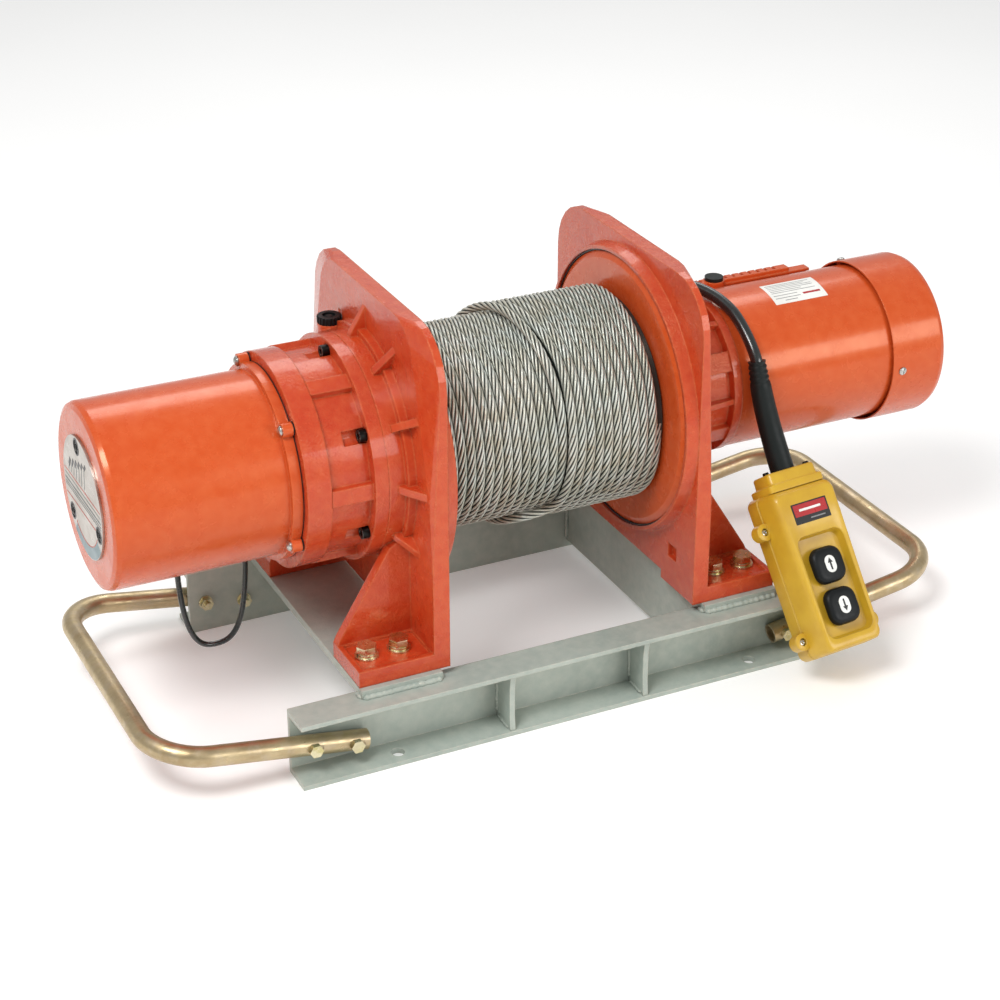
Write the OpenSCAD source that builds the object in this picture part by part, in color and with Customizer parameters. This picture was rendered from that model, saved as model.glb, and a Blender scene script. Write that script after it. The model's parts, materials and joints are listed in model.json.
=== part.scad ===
// Electric wire rope winch: drum between two cast supports on a welded channel frame,
// planetary gearbox on the left, motor on the right, carry handles and a push-button pendant.
// X runs along the drum, Y to the back, Z up. Origin: on the ground under the middle of the drum.

/* [Base frame] */
// Length of each base channel
channel_len = 640; // [620:10:700]
// Height of the base channels
channel_h = 75; // [75:1:80]
// Width of a channel flange
channel_b = 40; // [38:1:45]
// Distance from the centre line to the drum side of each channel web
web_y = 153; // [152:1:156]
// Distance from the middle to the heel of each cross angle
angle_x = 155; // [154:1:158]
// Distance between the base mounting holes along the channel
mount_pitch_x = 420; // [400:5:440]
// Diameter of the base mounting holes
mount_hole_d = 14; // [11:1:16]

/* [Handles] */
// Outside diameter of the handle tube
handle_d = 21.7; // [20:0.1:22]
// Distance from the middle of the winch to the outer bar of a handle
handle_reach = 462; // [440:1:480]
// Bend radius of the handle on its centre line
handle_bend = 56; // [45:1:70]
// Upward tilt of the handles
handle_tilt = 9; // [0:1:10]

/* [Drum and rope] */
// Height of the drum axis above the ground
axis_z = 276; // [274:1:280]
// Radius of the drum flanges
flange_r = 152; // [150:0.5:152]
// Radius of the drum barrel
barrel_r = 65; // [60:1:70]
// Diameter of the wire rope
rope_d = 10; // [9:0.5:10]
// Radius of the full rope layers
rope_r = 110; // [105:1:112]
// Where the top layer of rope ends
rope_step_x = -12; // [-60:1:60]

/* [Gearbox] */
// Gear module
gear_m = 2; // [2]
// Teeth of the fixed ring gear
ring_teeth = 84; // [84]
// Teeth of the first sun pinion
sun1_teeth = 12; // [12]
// Teeth of the second sun pinion
sun2_teeth = 18; // [18]
// Backlash at the pitch line
backlash = 0.24; // [0.2:0.02:0.3]
// Outer radius of the ring gear band
band_r = 113.5; // [112:0.5:115]

/* [Motor and covers] */
// Radius of the left end cover
cover_r = 97; // [95:0.5:98]
// Distance from the middle to the face of the left cover
cover_end = 466; // [460:1:470]
// Radius of the motor shell
motor_r = 87; // [86:0.5:88]
// Radius of the fan cowl
cowl_r = 92; // [91:0.5:93]
// Distance from the middle to the end of the fan cowl
cowl_end = 504; // [500:1:508]

/* [Pendant] */
// Width of the pendant body
pendant_w = 86; // [80:1:90]
// Height of the pendant body without its cap
pendant_h = 184; // [180:1:190]
// Depth of the pendant body
pendant_d = 52; // [48:1:52]
// Travel of each push button
button_travel = 3.5; // [2:0.5:4]
// Backward lean of the pendant
pendant_lean = 37; // [36:1:38]

/* [Hidden] */

$fn = 64;
eps = 0.05;            // running and fitting clearance on a radius
flange_t = 7;          // channel flange thickness
web_t = 5;             // channel web thickness
angle_t = 9;           // cross angle thickness
angle_leg = 90;        // cross angle flat leg
angle_drop = 75;       // cross angle upright leg
angle_past = 17;       // flat leg beyond the channel webs
stiffener_x = [-88, 70];
stiffener_t = 6;
foot_z = channel_h + angle_t;
plate_in = 143.5;      // drum side of each support plate
plate_out = 161.5;     // outer side of each support plate
plate_half = 163;      // half width of a support plate
plate_top = axis_z + 171;
collar_x = 131;        // drum side of the collar round a drum flange
recess_x = 148;        // floor of the recess for a drum flange
drum_face = 131;       // rope side of each drum flange
drum_back = 145;       // outer side of each drum flange
barrel_wall = 9;
journal_r = 32.5;      // drum journal, 65 mm bearing seat
journal_bore_r = 22;
journal_end = 188;
seal_r = 45;           // seal outside, in its seat beside the bearing
bearing_r = 60;        // 120 mm bearing outside
bearing_x0 = 163.5;    // both ends of the right drum bearing
bearing_x1 = 186.5;
bearing_x = (bearing_x0 + bearing_x1) / 2;
ball_r = 7.9;
joint_x = -188;        // joint of left support and gear housing
band_x0 = -273;        // both ends of the ring gear band
band_x1 = -247;
hub_r = 120;           // left support hub and gear housing flange
ring_seat_r = 100;     // spigot of the ring gear inside the housing
shaft_r = 9;
ring_pitch_r = gear_m * ring_teeth / 2;
planet1_teeth = (ring_teeth - sun1_teeth) / 2;
planet2_teeth = (ring_teeth - sun2_teeth) / 2;
orbit1 = gear_m * (sun1_teeth + planet1_teeth) / 2;
orbit2 = gear_m * (sun2_teeth + planet2_teeth) / 2;
stage1_x0 = -271;      // both ends of the first stage teeth
stage1_x1 = -257;
stage2_x0 = -247;      // both ends of the second stage teeth
stage2_x1 = -219;
pin1_r = 8;            // planet pins of each stage
pin2_r = 10;
adapter_end = 241;      // motor side of the motor adapter
adapter_rim_r = 88.5;
adapter_screw_r = 91.5;
adapter_flange_t = 12;
shell_end = 452;
shell_t = 4;           // wall of the motor shell
handle_y = web_y + web_t + handle_d / 2 + 0.2;
handle_pivot = 275;
handle_z = 32;
handle_wall = 2;
handle_end_x = 241;    // open end of each handle arm
handle_bolts_x = [256, 301];
handle_bolt_r = 4;
handle_hole_r = 4.5;
handle_head_at = web_t + handle_d - 0.75;   // head seat, measured from the drum side of the web
foot_bolts_x = [187, 223];
foot_y = 131;          // line of the foot bolts
foot_bolt_r = 6;
foot_hole_r = 7;
foot_len = 244.5;      // outer end of each support foot
foot_y0 = 93;          // inner side of each support foot
foot_h = 18;
foot_dish = 2.5;       // depth of the foot's top below its rim
foot_web_t = 12;       // upright web above each foot
pendant_yaw = 6;
pendant_at = [278.5, -234.5, 26.7];
paint = [0.82, 0.28, 0.14];
grey_paint = [0.60, 0.63, 0.60];
zinc = [0.78, 0.72, 0.56];
steel = [0.70, 0.70, 0.68];
black = [0.12, 0.13, 0.13];
yellow = [0.86, 0.70, 0.20];

// ---------- helpers ----------

// Children drawn in XY stand on a plane across the drum axis at x, facing +X.
module axial(x) {
    translate([x, 0, axis_z]) rotate([90, 0, 90]) children();
}

// Solid of revolution about the drum axis from [radius, x] points.
module turned(points) {
    axial(0) rotate_extrude($fn = 96) polygon(points);
}

// Plain ring about the drum axis.
module ring(x0, x1, r_out, r_in = 0) {
    axial(x0) rotate_extrude($fn = 96) translate([r_in, 0]) square([r_out - r_in, x1 - x0]);
}

// Hole or rod parallel to the drum axis.
module rod_x(x0, x1, r, y, z) {
    translate([x0, y, z]) rotate([0, 90, 0]) cylinder(h = x1 - x0, r = r);
}

// Copies round the drum axis at the given radius.
module around(count, radius, start, x) {
    for (i = [0 : count - 1]) axial(x) rotate(start + i * 360 / count)
        translate([radius, 0, 0]) children();
}

module hexagon(across, h) {
    cylinder(h = h, r = across / sqrt(3), $fn = 6);
}

module mirrored_x() {
    children();
    mirror([1, 0, 0]) children();
}

module mirrored_y() {
    children();
    mirror([0, 1, 0]) children();
}

// Closed tube of round section swept through points, each end capped flat.
module sweep(points, radii, sides) {
    n = len(points);
    dirs = [for (i = [0 : n - 1])
        let (d = points[min(i + 1, n - 1)] - points[max(i - 1, 0)]) d / norm(d)];
    rings = [for (i = [0 : n - 1])
        let (side = cross(dirs[i], [0.2, 1, 0.13]), u = side / norm(side), v = cross(dirs[i], u))
        [for (k = [0 : sides - 1])
            let (a = 360 * k / sides) points[i] + radii[i] * (cos(a) * u + sin(a) * v)]];
    verts = [for (r = rings) for (p = r) p];
    quads = [for (i = [0 : n - 2]) for (k = [0 : sides - 1])
        let (j = (k + 1) % sides)
        [i * sides + k, i * sides + j, (i + 1) * sides + j, (i + 1) * sides + k]];
    caps = [[for (k = [sides - 1 : -1 : 0]) k], [for (k = [0 : sides - 1]) (n - 1) * sides + k]];
    polyhedron(verts, concat(quads, caps));
}

// Points of a cubic curve from a to d with handles b and c.
function curve(a, b, c, d, steps, first = 0) = [for (i = [first : steps]) let (t = i / steps)
    pow(1 - t, 3) * a + 3 * pow(1 - t, 2) * t * b + 3 * (1 - t) * t * t * c + pow(t, 3) * d];

// ---------- gears ----------

pressure = 25;
function inv(a) = tan(a) * 180 / PI - a;
function flank(base, r) = r <= base ? 0 : inv(acos(base / r));

// Outline of an involute gear: thin takes that much off each tooth at the pitch line.
function gear_points(teeth, r_root, r_tip, thin) =
    let (pitch_r = gear_m * teeth / 2, base = pitch_r * cos(pressure),
         half = 90 / teeth - thin / 2 / pitch_r * 180 / PI + inv(pressure),
         start = max(base, r_root), steps = 4)
    [for (i = [0 : teeth - 1]) let (c = i * 360 / teeth)
        each concat(
            [for (a = [c - half + flank(base, start)]) r_root * [cos(a), sin(a)]],
            [for (k = [0 : steps]) let (r = start + (r_tip - start) * k / steps,
                a = c - half + flank(base, r)) r * [cos(a), sin(a)]],
            [for (k = [steps : -1 : 0]) let (r = start + (r_tip - start) * k / steps,
                a = c + half - flank(base, r)) r * [cos(a), sin(a)]],
            [for (a = [c + half - flank(base, start)]) r_root * [cos(a), sin(a)]])];

module gear_shape(teeth, thin = backlash / 2) {
    pitch_r = gear_m * teeth / 2;
    polygon(gear_points(teeth, pitch_r - 1.22 * gear_m, pitch_r + 0.9 * gear_m, thin));
}

// Planet of a stage: turned to mesh with its sun, whose first tooth stands at sun_phase.
module planet(i, teeth, sun_teeth, orbit, x0, x1, bore, sun_phase) {
    at = i * 120;
    turn = at + 180 - (0.5 - (at - sun_phase) * sun_teeth / 360) * 360 / teeth;
    axial(x0) rotate(at) translate([orbit, 0, 0]) rotate(turn - at) difference() {
        linear_extrude(x1 - x0) gear_shape(teeth);
        translate([0, 0, -1]) cylinder(h = x1 - x0 + 2, r = bore);
        for (face = [-1, x1 - x0 - 1.5]) translate([0, 0, face])
            rotate_extrude() translate([bore + 5, 0]) square([gear_m * teeth / 2 - bore - 10, 2.5]);
    }
}

// ---------- base frame ----------

// Channel lying along X with its web towards the drum and its flanges outwards.
module channel() {
    difference() {
        translate([-channel_len / 2, web_y, 0]) rotate([90, 0, 90]) linear_extrude(channel_len)
            polygon([[0, 0], [channel_b, 0], [channel_b, flange_t - 2], [web_t, flange_t],
                [web_t, channel_h - flange_t], [channel_b, channel_h - flange_t + 2],
                [channel_b, channel_h], [0, channel_h]]);
        for (side = [-1, 1]) {
            translate([side * mount_pitch_x / 2, web_y + 24, -1])
                cylinder(h = flange_t + 2, d = mount_hole_d);
            for (x = handle_bolts_x)
                translate([side * x, web_y - 1, handle_bolt_z(x)]) rotate([-90, 0, 0])
                    cylinder(h = web_t + 2, r = handle_hole_r);
        }
    }
}

function handle_bolt_z(x) = handle_z + (x - handle_pivot) * tan(handle_tilt);

module rear_channel() color(grey_paint) channel();
module front_channel() color(grey_paint) mirror([0, 1, 0]) channel();

// Angle across the channels: flat leg on top, upright leg facing the drum.
module cross_angle() {
    difference() {
        union() {
            translate([angle_x, -web_y - angle_past, channel_h])
                cube([angle_leg, 2 * (web_y + angle_past), angle_t]);
            translate([angle_x, -web_y, foot_z - angle_drop])
                cube([angle_t, 2 * web_y, angle_drop - angle_t]);
        }
        for (x = foot_bolts_x, y = [-foot_y, foot_y])
            translate([x, y, channel_h - 1]) cylinder(h = angle_t + 2, r = foot_hole_r);
    }
}

module right_cross_angle() color(grey_paint) cross_angle();
module left_cross_angle() color(grey_paint) mirror([1, 0, 0]) cross_angle();

module channel_stiffeners() color(grey_paint) mirrored_y() for (x = stiffener_x)
    translate([x, web_y + web_t, 0]) rotate([90, 0, 90]) linear_extrude(stiffener_t)
        polygon([[0, flange_t], [channel_b - web_t - 2, flange_t - 1.8],
            [channel_b - web_t - 4, flange_t + 14], [channel_b - web_t - 4, channel_h - flange_t - 14],
            [channel_b - web_t - 2, channel_h - flange_t + 1.8], [0, channel_h - flange_t]]);

// ---------- handles ----------

// Half of the bent tube, in the plane of the handle, from its open end to the outer bar.
// past makes both ends that much longer.
module handle_half(r, past = 0) {
    reach = (handle_reach - handle_pivot) / cos(handle_tilt);
    arm_start = handle_end_x - handle_pivot - past;
    translate([arm_start, handle_y, 0]) rotate([0, 90, 0])
        cylinder(h = reach - handle_bend - arm_start, r = r);
    translate([reach - handle_bend, handle_y - handle_bend, 0])
        rotate_extrude(angle = 90, start = 0) translate([handle_bend, 0]) circle(r);
    translate([reach, handle_y - handle_bend, 0]) rotate([90, 0, 0])
        cylinder(h = handle_y - handle_bend + past, r = r);
}

module handle() {
    difference() {
        translate([handle_pivot, 0, handle_z]) rotate([0, -handle_tilt, 0]) mirrored_y()
            difference() {
                handle_half(handle_d / 2);
                handle_half(handle_d / 2 - handle_wall, 1);
            }
        mirrored_y() for (x = handle_bolts_x) translate([x, web_y, handle_bolt_z(x)])
            rotate([-90, 0, 0]) {
                cylinder(h = 40, r = handle_hole_r);
                translate([0, 0, handle_head_at - 0.05]) cylinder(h = 5, r = 9);
            }
    }
}

module right_handle() color(zinc) handle();
module left_handle() color(zinc) mirror([1, 0, 0]) handle();

// Bolts through the handle ends and channel webs, each with its nut and washer.
module handle_bolts() color(zinc) mirrored_x() mirrored_y()
    for (x = handle_bolts_x) translate([x, web_y, handle_bolt_z(x)]) rotate([-90, 0, 0]) {
        translate([0, 0, -12]) cylinder(h = 12.05 + handle_head_at, r = handle_bolt_r);
        translate([0, 0, handle_head_at]) hexagon(13, 5.5);
        mirror([0, 0, 1]) difference() {
            union() {
                cylinder(h = 1.5, r = 8);
                translate([0, 0, 1.4]) hexagon(13, 6.5);
            }
            translate([0, 0, -1]) cylinder(h = 12, r = handle_bolt_r + eps);
        }
    }

// ---------- supports ----------

housing_screw_r = 109;
plug_at = [-174, 66, axis_z];   // vertical line of the oil filler
plug_seat = 110;                // height of its seat above the drum axis
spot_r = 13.6;                  // flat machined round the filler

// Right half of a plate outline, y across and z up, from the foot to the top edge.
// The drum side has one round corner; the outer side narrows towards a tighter corner.
drum_side_half = concat([[plate_half, foot_z]],
    [for (a = [0 : 15 : 90]) [plate_half - 58 + 58 * cos(a), plate_top - 58 + 58 * sin(a)]]);
outer_half = concat([[plate_half, foot_z], [plate_half, axis_z - 80], [plate_half - 6, axis_z - 5]],
    [for (a = [20 : 14 : 90]) [76 + 45 * cos(a), plate_top - 45 + 45 * sin(a)]]);

module plate_slab(x, t, half) {
    mirrored = [for (i = [len(half) - 1 : -1 : 0]) [-half[i][0], half[i][1]]];
    translate([x, 0, 0]) rotate([90, 0, 90]) linear_extrude(t) polygon(concat(half, mirrored));
}

// Triangular web between the hub and the plate at an angle round the axis.
module hub_rib(a, hub_x, hub) {
    axial(0) rotate(a) rotate([90, 0, 0]) translate([0, 0, -4]) linear_extrude(8)
        polygon([[hub - 5, plate_out - 1], [hub - 5, hub_x], [hub + 3, hub_x],
            [flange_r + 1, plate_out - 1]]);
}

// Cast support for the +X side: hub_x and hub are the end and radius of the hub outside the plate.
module support(hub_x, hub, rib_angles) {
    difference() {
        union() {
            hull() {
                plate_slab(plate_in, 8, drum_side_half);
                plate_slab(plate_out - 1, 1, outer_half);
            }
            turned([[158, collar_x], [162, plate_in + 1], [80, plate_in + 1], [80, collar_x]]);
            ring(plate_out - 1, hub_x, hub);
            ring(plate_out - 1, plate_out + 9, hub + 7);
            for (a = rib_angles) hub_rib(a, hub_x - 9, hub);
            mirrored_y() {
                translate([plate_in, foot_y0, foot_z])
                    cube([foot_len - plate_in, plate_half - foot_y0, foot_h]);
                translate([0, foot_y0 + foot_web_t, 0]) rotate([90, 0, 0]) linear_extrude(foot_web_t)
                    polygon([[plate_out - 1, foot_z + foot_h - 1], [foot_len, foot_z + foot_h - 1],
                        [foot_len - 3, foot_z + foot_h + 6], [hub_x - 4, axis_z - 74],
                        [plate_out - 1, axis_z - 60]]);
            }
        }
        ring(collar_x - 1, recess_x, flange_r + 2);
        ring(recess_x - 1, bearing_x0 + 1, journal_r + 4);
        ring(seal_x0 - 1, seal_x1 + 0.5, seal_r + eps);
        ring(bearing_x0, hub_x + 1, bearing_r + eps);
        translate([plate_in - 1, -foot_y0, foot_z - 1]) cube([200, 2 * foot_y0, 11]);
        for (x = foot_bolts_x, y = [-foot_y, foot_y])
            translate([x, y, foot_z - 1]) cylinder(h = foot_h + 2, r = foot_hole_r);
        mirrored_y() {
            // shallow top of the foot behind its raised rim
            translate([plate_out + 1, foot_y0 + foot_web_t + 2, foot_z + foot_h - foot_dish])
                cube([foot_len - plate_out - 7, plate_half - foot_y0 - 20, 3]);
            // casting pocket in the drum side of the plate
            translate([plate_in - 1, 107, 118]) cube([7, 18, 16]);
        }
    }
}

module right_support() color(paint) difference() {
    support(186.5, 76, []);
    around(6, adapter_screw_r, 15, plate_out - 12) cylinder(h = 13, r = 3 + eps);
}

module left_support() color(paint) difference() {
    union() {
        mirror([1, 0, 0])
            support(-joint_x, hub_r, [for (a = [0 : 30 : 330]) if (a != 60 && a != 270) a]);
        translate(plug_at + [0, 0, plug_seat - 25]) cylinder(h = 25.5, r = 13);
    }
    around(6, housing_screw_r, 30, joint_x - 1) cylinder(h = 17, r = 4.3);
    translate(plug_at + [0, 0, plug_seat - 22]) cylinder(h = 30, r = 8 + eps);
    translate(plug_at + [0, 0, plug_seat]) cylinder(h = 12, r = spot_r);
}

module oil_plug() color(black) translate(plug_at + [0, 0, plug_seat]) {
    translate([0, 0, -12]) cylinder(h = 12.5, r = 8);
    difference() {
        union() {
            cylinder(h = 8, r = 12);
            for (i = [0 : 19]) rotate(i * 18) translate([12, 0, 0.5]) cylinder(h = 7, r = 1.1, $fn = 16);
        }
        translate([0, 0, 5.5]) cylinder(h = 4, r = 7);
    }
    translate([0, 0, 5]) cylinder(h = 2, r = 3.5);
}

module foot_bolts() color(zinc) mirrored_x() for (x = foot_bolts_x, y = [-foot_y, foot_y])
    translate([x, y, foot_z + foot_h - foot_dish]) {
        translate([0, 0, 5.6]) hexagon(19, 7.5);
        translate([0, 0, -44]) cylinder(h = 50, r = foot_bolt_r);
    }

// Flat and spring washer under each foot bolt head.
module foot_washers() color(zinc) mirrored_x() for (x = foot_bolts_x, y = [-foot_y, foot_y])
    translate([x, y, foot_z + foot_h - foot_dish]) {
        rotate_extrude() translate([6.3, 0]) square([6.2, 2.4]);
        translate([0, 0, 2.45]) rotate_extrude(angle = 350) translate([6.3, 0]) square([4.4, 3]);
    }

module foot_nuts() color(zinc) mirrored_x() for (x = foot_bolts_x, y = [-foot_y, foot_y])
    translate([x, y, channel_h]) mirror([0, 0, 1]) difference() {
        union() {
            cylinder(h = 2.4, r = 12.5);
            translate([0, 0, 2.3]) hexagon(19, 10);
        }
        translate([0, 0, -1]) cylinder(h = 16, r = foot_bolt_r + eps);
    }

// ---------- drum ----------

// One casting: barrel, two flanges with a chamfered rim, and a hollow journal at each end.
module drum() color(paint) turned([
    [journal_bore_r, -journal_end], [journal_r, -journal_end], [journal_r, -drum_back],
    [flange_r, -drum_back], [flange_r, -drum_face - 4], [flange_r - 7, -drum_face],
    [flange_r - 12, -drum_face], [rope_r + 9, -drum_face - 1], [barrel_r, -drum_face - 1],
    [barrel_r, drum_face + 1], [rope_r + 9, drum_face + 1], [flange_r - 12, drum_face],
    [flange_r - 7, drum_face], [flange_r, drum_face + 4], [flange_r, drum_back],
    [journal_r, drum_back], [journal_r, journal_end], [journal_bore_r, journal_end],
    [journal_bore_r, drum_face + 2], [barrel_r - barrel_wall, drum_face - 6],
    [barrel_r - barrel_wall, -drum_face + 6], [journal_bore_r, -drum_face - 2]]);

// Wound rope: full layers, with one more layer on the motor side.
layer_t = rope_d * sqrt(3) / 2;   // a layer lies in the valleys of the one below
module wire_rope() color(steel) turned([
    [barrel_r + eps, -drum_face + 1], [rope_r, -drum_face + 1], [rope_r, rope_step_x],
    [rope_r + layer_t, rope_step_x + 5], [rope_r + layer_t, drum_face - 2],
    [rope_r, drum_face - 1], [barrel_r + eps, drum_face - 1]]);

race_mid = (journal_r + bearing_r) / 2;   // circle of the ball centres

// Groove cut in the bearing rings for the balls.
module race_groove() axial(bearing_x) rotate_extrude() translate([race_mid, 0]) circle(ball_r + 0.1);

module drum_bearing_inners() color(steel) mirrored_x() difference() {
    ring(bearing_x0, bearing_x1, race_mid - 5, journal_r + eps);
    race_groove();
}

// Fixed side of the drum bearings: outer rings and ball sets.
module drum_bearings() color(steel) mirrored_x() {
    difference() {
        ring(bearing_x0, bearing_x1, bearing_r, race_mid + 5);
        race_groove();
    }
    around(10, race_mid, 0, bearing_x) sphere(ball_r, $fn = 48);
}

seal_x0 = 151;
seal_x1 = 159.5;
module drum_seals() color(black) mirrored_x()
    turned([[journal_r + eps, seal_x0], [seal_r, seal_x0 - 0.5], [seal_r, seal_x1], [seal_r - 3, seal_x1],
        [seal_r - 3, seal_x0 + 3], [journal_r + 2, seal_x0 + 3], [journal_r + eps, seal_x0 + 6]]);

// ---------- gearbox ----------

// Housing with a pad between each pair of screws; its spigot seat carries the ring gear.
housing_r = 107;
module gear_housing() color(paint) difference() {
    union() {
        turned([[88, joint_x], [hub_r, joint_x], [hub_r, -203], [housing_r, -203],
            [housing_r, band_x1], [ring_seat_r + eps, band_x1], [ring_seat_r + eps, -214], [88, -205]]);
        around(6, housing_r, 0, band_x1) translate([-4, -9, 0]) cube([11, 18, 45]);
    }
    around(6, housing_screw_r, 30, joint_x - 30) cylinder(h = 31, r = 4.4);
    around(6, housing_screw_r, 30, -226) cylinder(h = 23.5, r = 8);
}

module housing_screws() color(black) around(6, housing_screw_r, 30, -210.5) {
    difference() {
        cylinder(h = 8, r = 6.5);
        translate([0, 0, -1]) hexagon(6, 5);
    }
    translate([0, 0, 7.9]) cylinder(h = 28, r = 4);
}

// Ring gear: the visible band with a spigot inside the housing; internal teeth along both stages.
module ring_gear() color(paint) difference() {
    union() {
        ring(band_x0, band_x1, band_r);
        ring(band_x1 - 0.1, -215, ring_seat_r);
    }
    around(5, cover_screw_r, cover_screw_at, band_x0 - 1) cylinder(h = 15, r = 3 + eps);
    axial(band_x0 - 1) rotate(180 / ring_teeth) linear_extrude(70)
        polygon(gear_points(ring_teeth, ring_pitch_r - 0.86 * gear_m,
            ring_pitch_r + 1.2 * gear_m, -backlash / 2));
}

// Shaft through the drum from the motor, with the first sun pinion cut on its left end.
module drive_shaft() color(steel) {
    turned([[0, stage1_x0], [shaft_r, stage1_x0], [shaft_r, 205], [10, 205], [10, 240],
        [14, 240], [14, 423], [10, 423], [10, 496], [0, 496]]);
    axial(stage1_x0) linear_extrude(stage1_x1 - stage1_x0) gear_shape(sun1_teeth);
}

// First stage carrier with the second sun pinion cut on its hub.
module sun_carrier() color(steel) difference() {
    union() {
        ring(-255.5, -249.5, 62);
        ring(-249.6, -219, 14);
        axial(-249.6) rotate(180 / sun2_teeth) linear_extrude(30.6) gear_shape(sun2_teeth);
    }
    ring(-270, -210, 10.5);
    around(3, orbit1, 0, -260) cylinder(h = 20, r = pin1_r + eps);
}

module first_planet_pins() color(steel) around(3, orbit1, 0, stage1_x0) {
    cylinder(h = 21.5, r = pin1_r);
}

// Second stage carrier: its stub drives the drum journal.
module output_carrier() color(steel) difference() {
    union() {
        ring(-217, -205, 72);
        ring(-205.1, -160, journal_bore_r - eps);
    }
    ring(-220, -150, 12);
    around(3, orbit2, 0, -220) cylinder(h = 20, r = pin2_r + eps);
}

module second_planet_pins() color(steel) around(3, orbit2, 0, stage2_x0) {
    cylinder(h = 42, r = pin2_r);
}

module first_planet(i) color(steel)
    planet(i, planet1_teeth, sun1_teeth, orbit1, stage1_x0, stage1_x1, pin1_r + eps, 0);
module second_planet(i) color(steel) planet(i, planet2_teeth, sun2_teeth, orbit2,
    stage2_x0, stage2_x1, pin2_r + eps, 180 / sun2_teeth);
module first_planet_a() first_planet(0);
module first_planet_b() first_planet(1);
module first_planet_c() first_planet(2);
module second_planet_a() second_planet(0);
module second_planet_b() second_planet(1);
module second_planet_c() second_planet(2);

// ---------- left cover ----------

cover_screw_at = 66.7;  // angle of the first cover screw
cover_screw_r = 105;
cover_t = 4;
gasket_t = 1.2;
flange_bore_r = 88;     // inside of the cover's flange and its gasket

// Flange with its five screw ears, solid between x0 and x1 and open inside r_in.
// The ears stand proud of the x0 face by lift.
module cover_flange(x0, x1, r_in, lift = 0) difference() {
    union() {
        ring(x0, x1, 103, r_in);
        around(5, cover_screw_r, cover_screw_at, x0 - lift) cylinder(h = x1 - x0, r = 7.6);
    }
    around(5, cover_screw_r, cover_screw_at, x0 - 1) cylinder(h = x1 - x0 + 2, r = 3.2);
}

module cover_gasket() color(black) cover_flange(band_x0 - gasket_t, band_x0, flange_bore_r);

module end_cover() color(paint) difference() {
    union() {
        turned([[0, -cover_end], [cover_r - 7, -cover_end], [cover_r - 2, -cover_end + 2],
            [cover_r, -cover_end + 7], [cover_r, -277], [90, -277], [90, -284],
            [cover_r - cover_t, -290], [cover_r - cover_t, -cover_end + cover_t],
            [0, -cover_end + cover_t]]);
        cover_flange(-285, band_x0 - gasket_t, flange_bore_r, 0.4);
    }
    around(3, end_screw_r, end_screw_at, -cover_end - 1) cylinder(h = 10, r = 2.6);
    for (x = [-372, -296]) translate([x, 20, axis_z - 110]) cylinder(h = 40, r = 5 + eps);
}

module cover_screws() color(steel) around(5, cover_screw_r, cover_screw_at, -285.4) {
    translate([0, 0, -0.05]) mirror([0, 0, 1]) intersection() {
        cylinder(h = 4, r = 5.5);
        translate([0, 0, -3]) sphere(7);
    }
    translate([0, 0, -0.1]) cylinder(h = 23, r = 3);
}

end_screw_r = 53;
end_screw_at = 81;      // angle of the first end plate screw
end_plate_t = 2.5;

module end_plate() color(steel) difference() {
    ring(-cover_end - end_plate_t, -cover_end - 0.05, 64);
    around(3, end_screw_r, end_screw_at, -cover_end - end_plate_t - 1)
        cylinder(h = end_plate_t + 2, r = 8);
}

// Low socket screws, sunk in the holes of the end plate.
module end_plate_screws() color(black) around(3, end_screw_r, end_screw_at, -cover_end - 1.9) {
    difference() {
        cylinder(h = 1.85, r = 7.4);
        translate([0, 0, -1]) hexagon(7, 2.2);
    }
    translate([0, 0, 1.8]) cylinder(h = 7, r = 2.5);
}

// Mounting plate on two posts, with the raising and lowering contactors and a terminal strip.
module contactors() color([0.35, 0.36, 0.38]) {
    for (y = [-50, 50]) rod_x(-cover_end + cover_t + 0.1, -436, 5, y, axis_z - 50.5);
    translate([-440, -60, axis_z - 52]) cube([120, 120, 3]);
    for (y = [-50, 6]) translate([-425, y, axis_z - 49.1]) {
        cube([78, 44, 58]);
        translate([6, 6, 57.9]) cube([66, 32, 14]);
    }
    translate([-338, -50, axis_z - 49.1]) cube([14, 100, 22]);
}

// ---------- motor ----------

// Casting between the right support and the motor: flange, ribbed barrel and rim.
module motor_adapter() color(paint) difference() {
    union() {
        turned([[77, plate_out], [96, plate_out], [96, plate_out + adapter_flange_t],
            [84, plate_out + 16], [81.5, plate_out + 24], [80, adapter_end - 12],
            [adapter_rim_r, adapter_end - 10], [adapter_rim_r, adapter_end], [20, adapter_end],
            [20, adapter_end - 14], [68, adapter_end - 18], [70, plate_out + 40], [77, plate_out + 30]]);
        for (a = [30 : 60 : 330]) axial(plate_out + 8) rotate(a) translate([76, -11, 0])
            cube([10, 22, adapter_end - plate_out - 14]);
        for (a = [0 : 60 : 300]) axial(0) rotate(a) rotate([90, 0, 0]) translate([0, 0, -3])
            linear_extrude(6) polygon([[78, plate_out + 9], [95, plate_out + 9],
                [87, adapter_end - 9], [78, adapter_end - 9]]);
    }
    ring(plate_out - 1, plate_out + 9.5, 83.5);
    ring(226, adapter_end - 1.5, rotor_bearing_r + eps);
    around(6, adapter_screw_r, 15, plate_out - 1) cylinder(h = 14, r = 3.4);
    around(6, adapter_screw_r, 15, plate_out + adapter_flange_t - 0.1) cylinder(h = 12, r = 5.6);
}

module adapter_screws() color(black) around(6, adapter_screw_r, 15, plate_out + adapter_flange_t) {
    difference() {
        cylinder(h = 6, r = 5);
        translate([0, 0, 3]) hexagon(5, 4);
    }
    translate([0, 0, -20]) cylinder(h = 20.1, r = 3);
}

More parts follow.
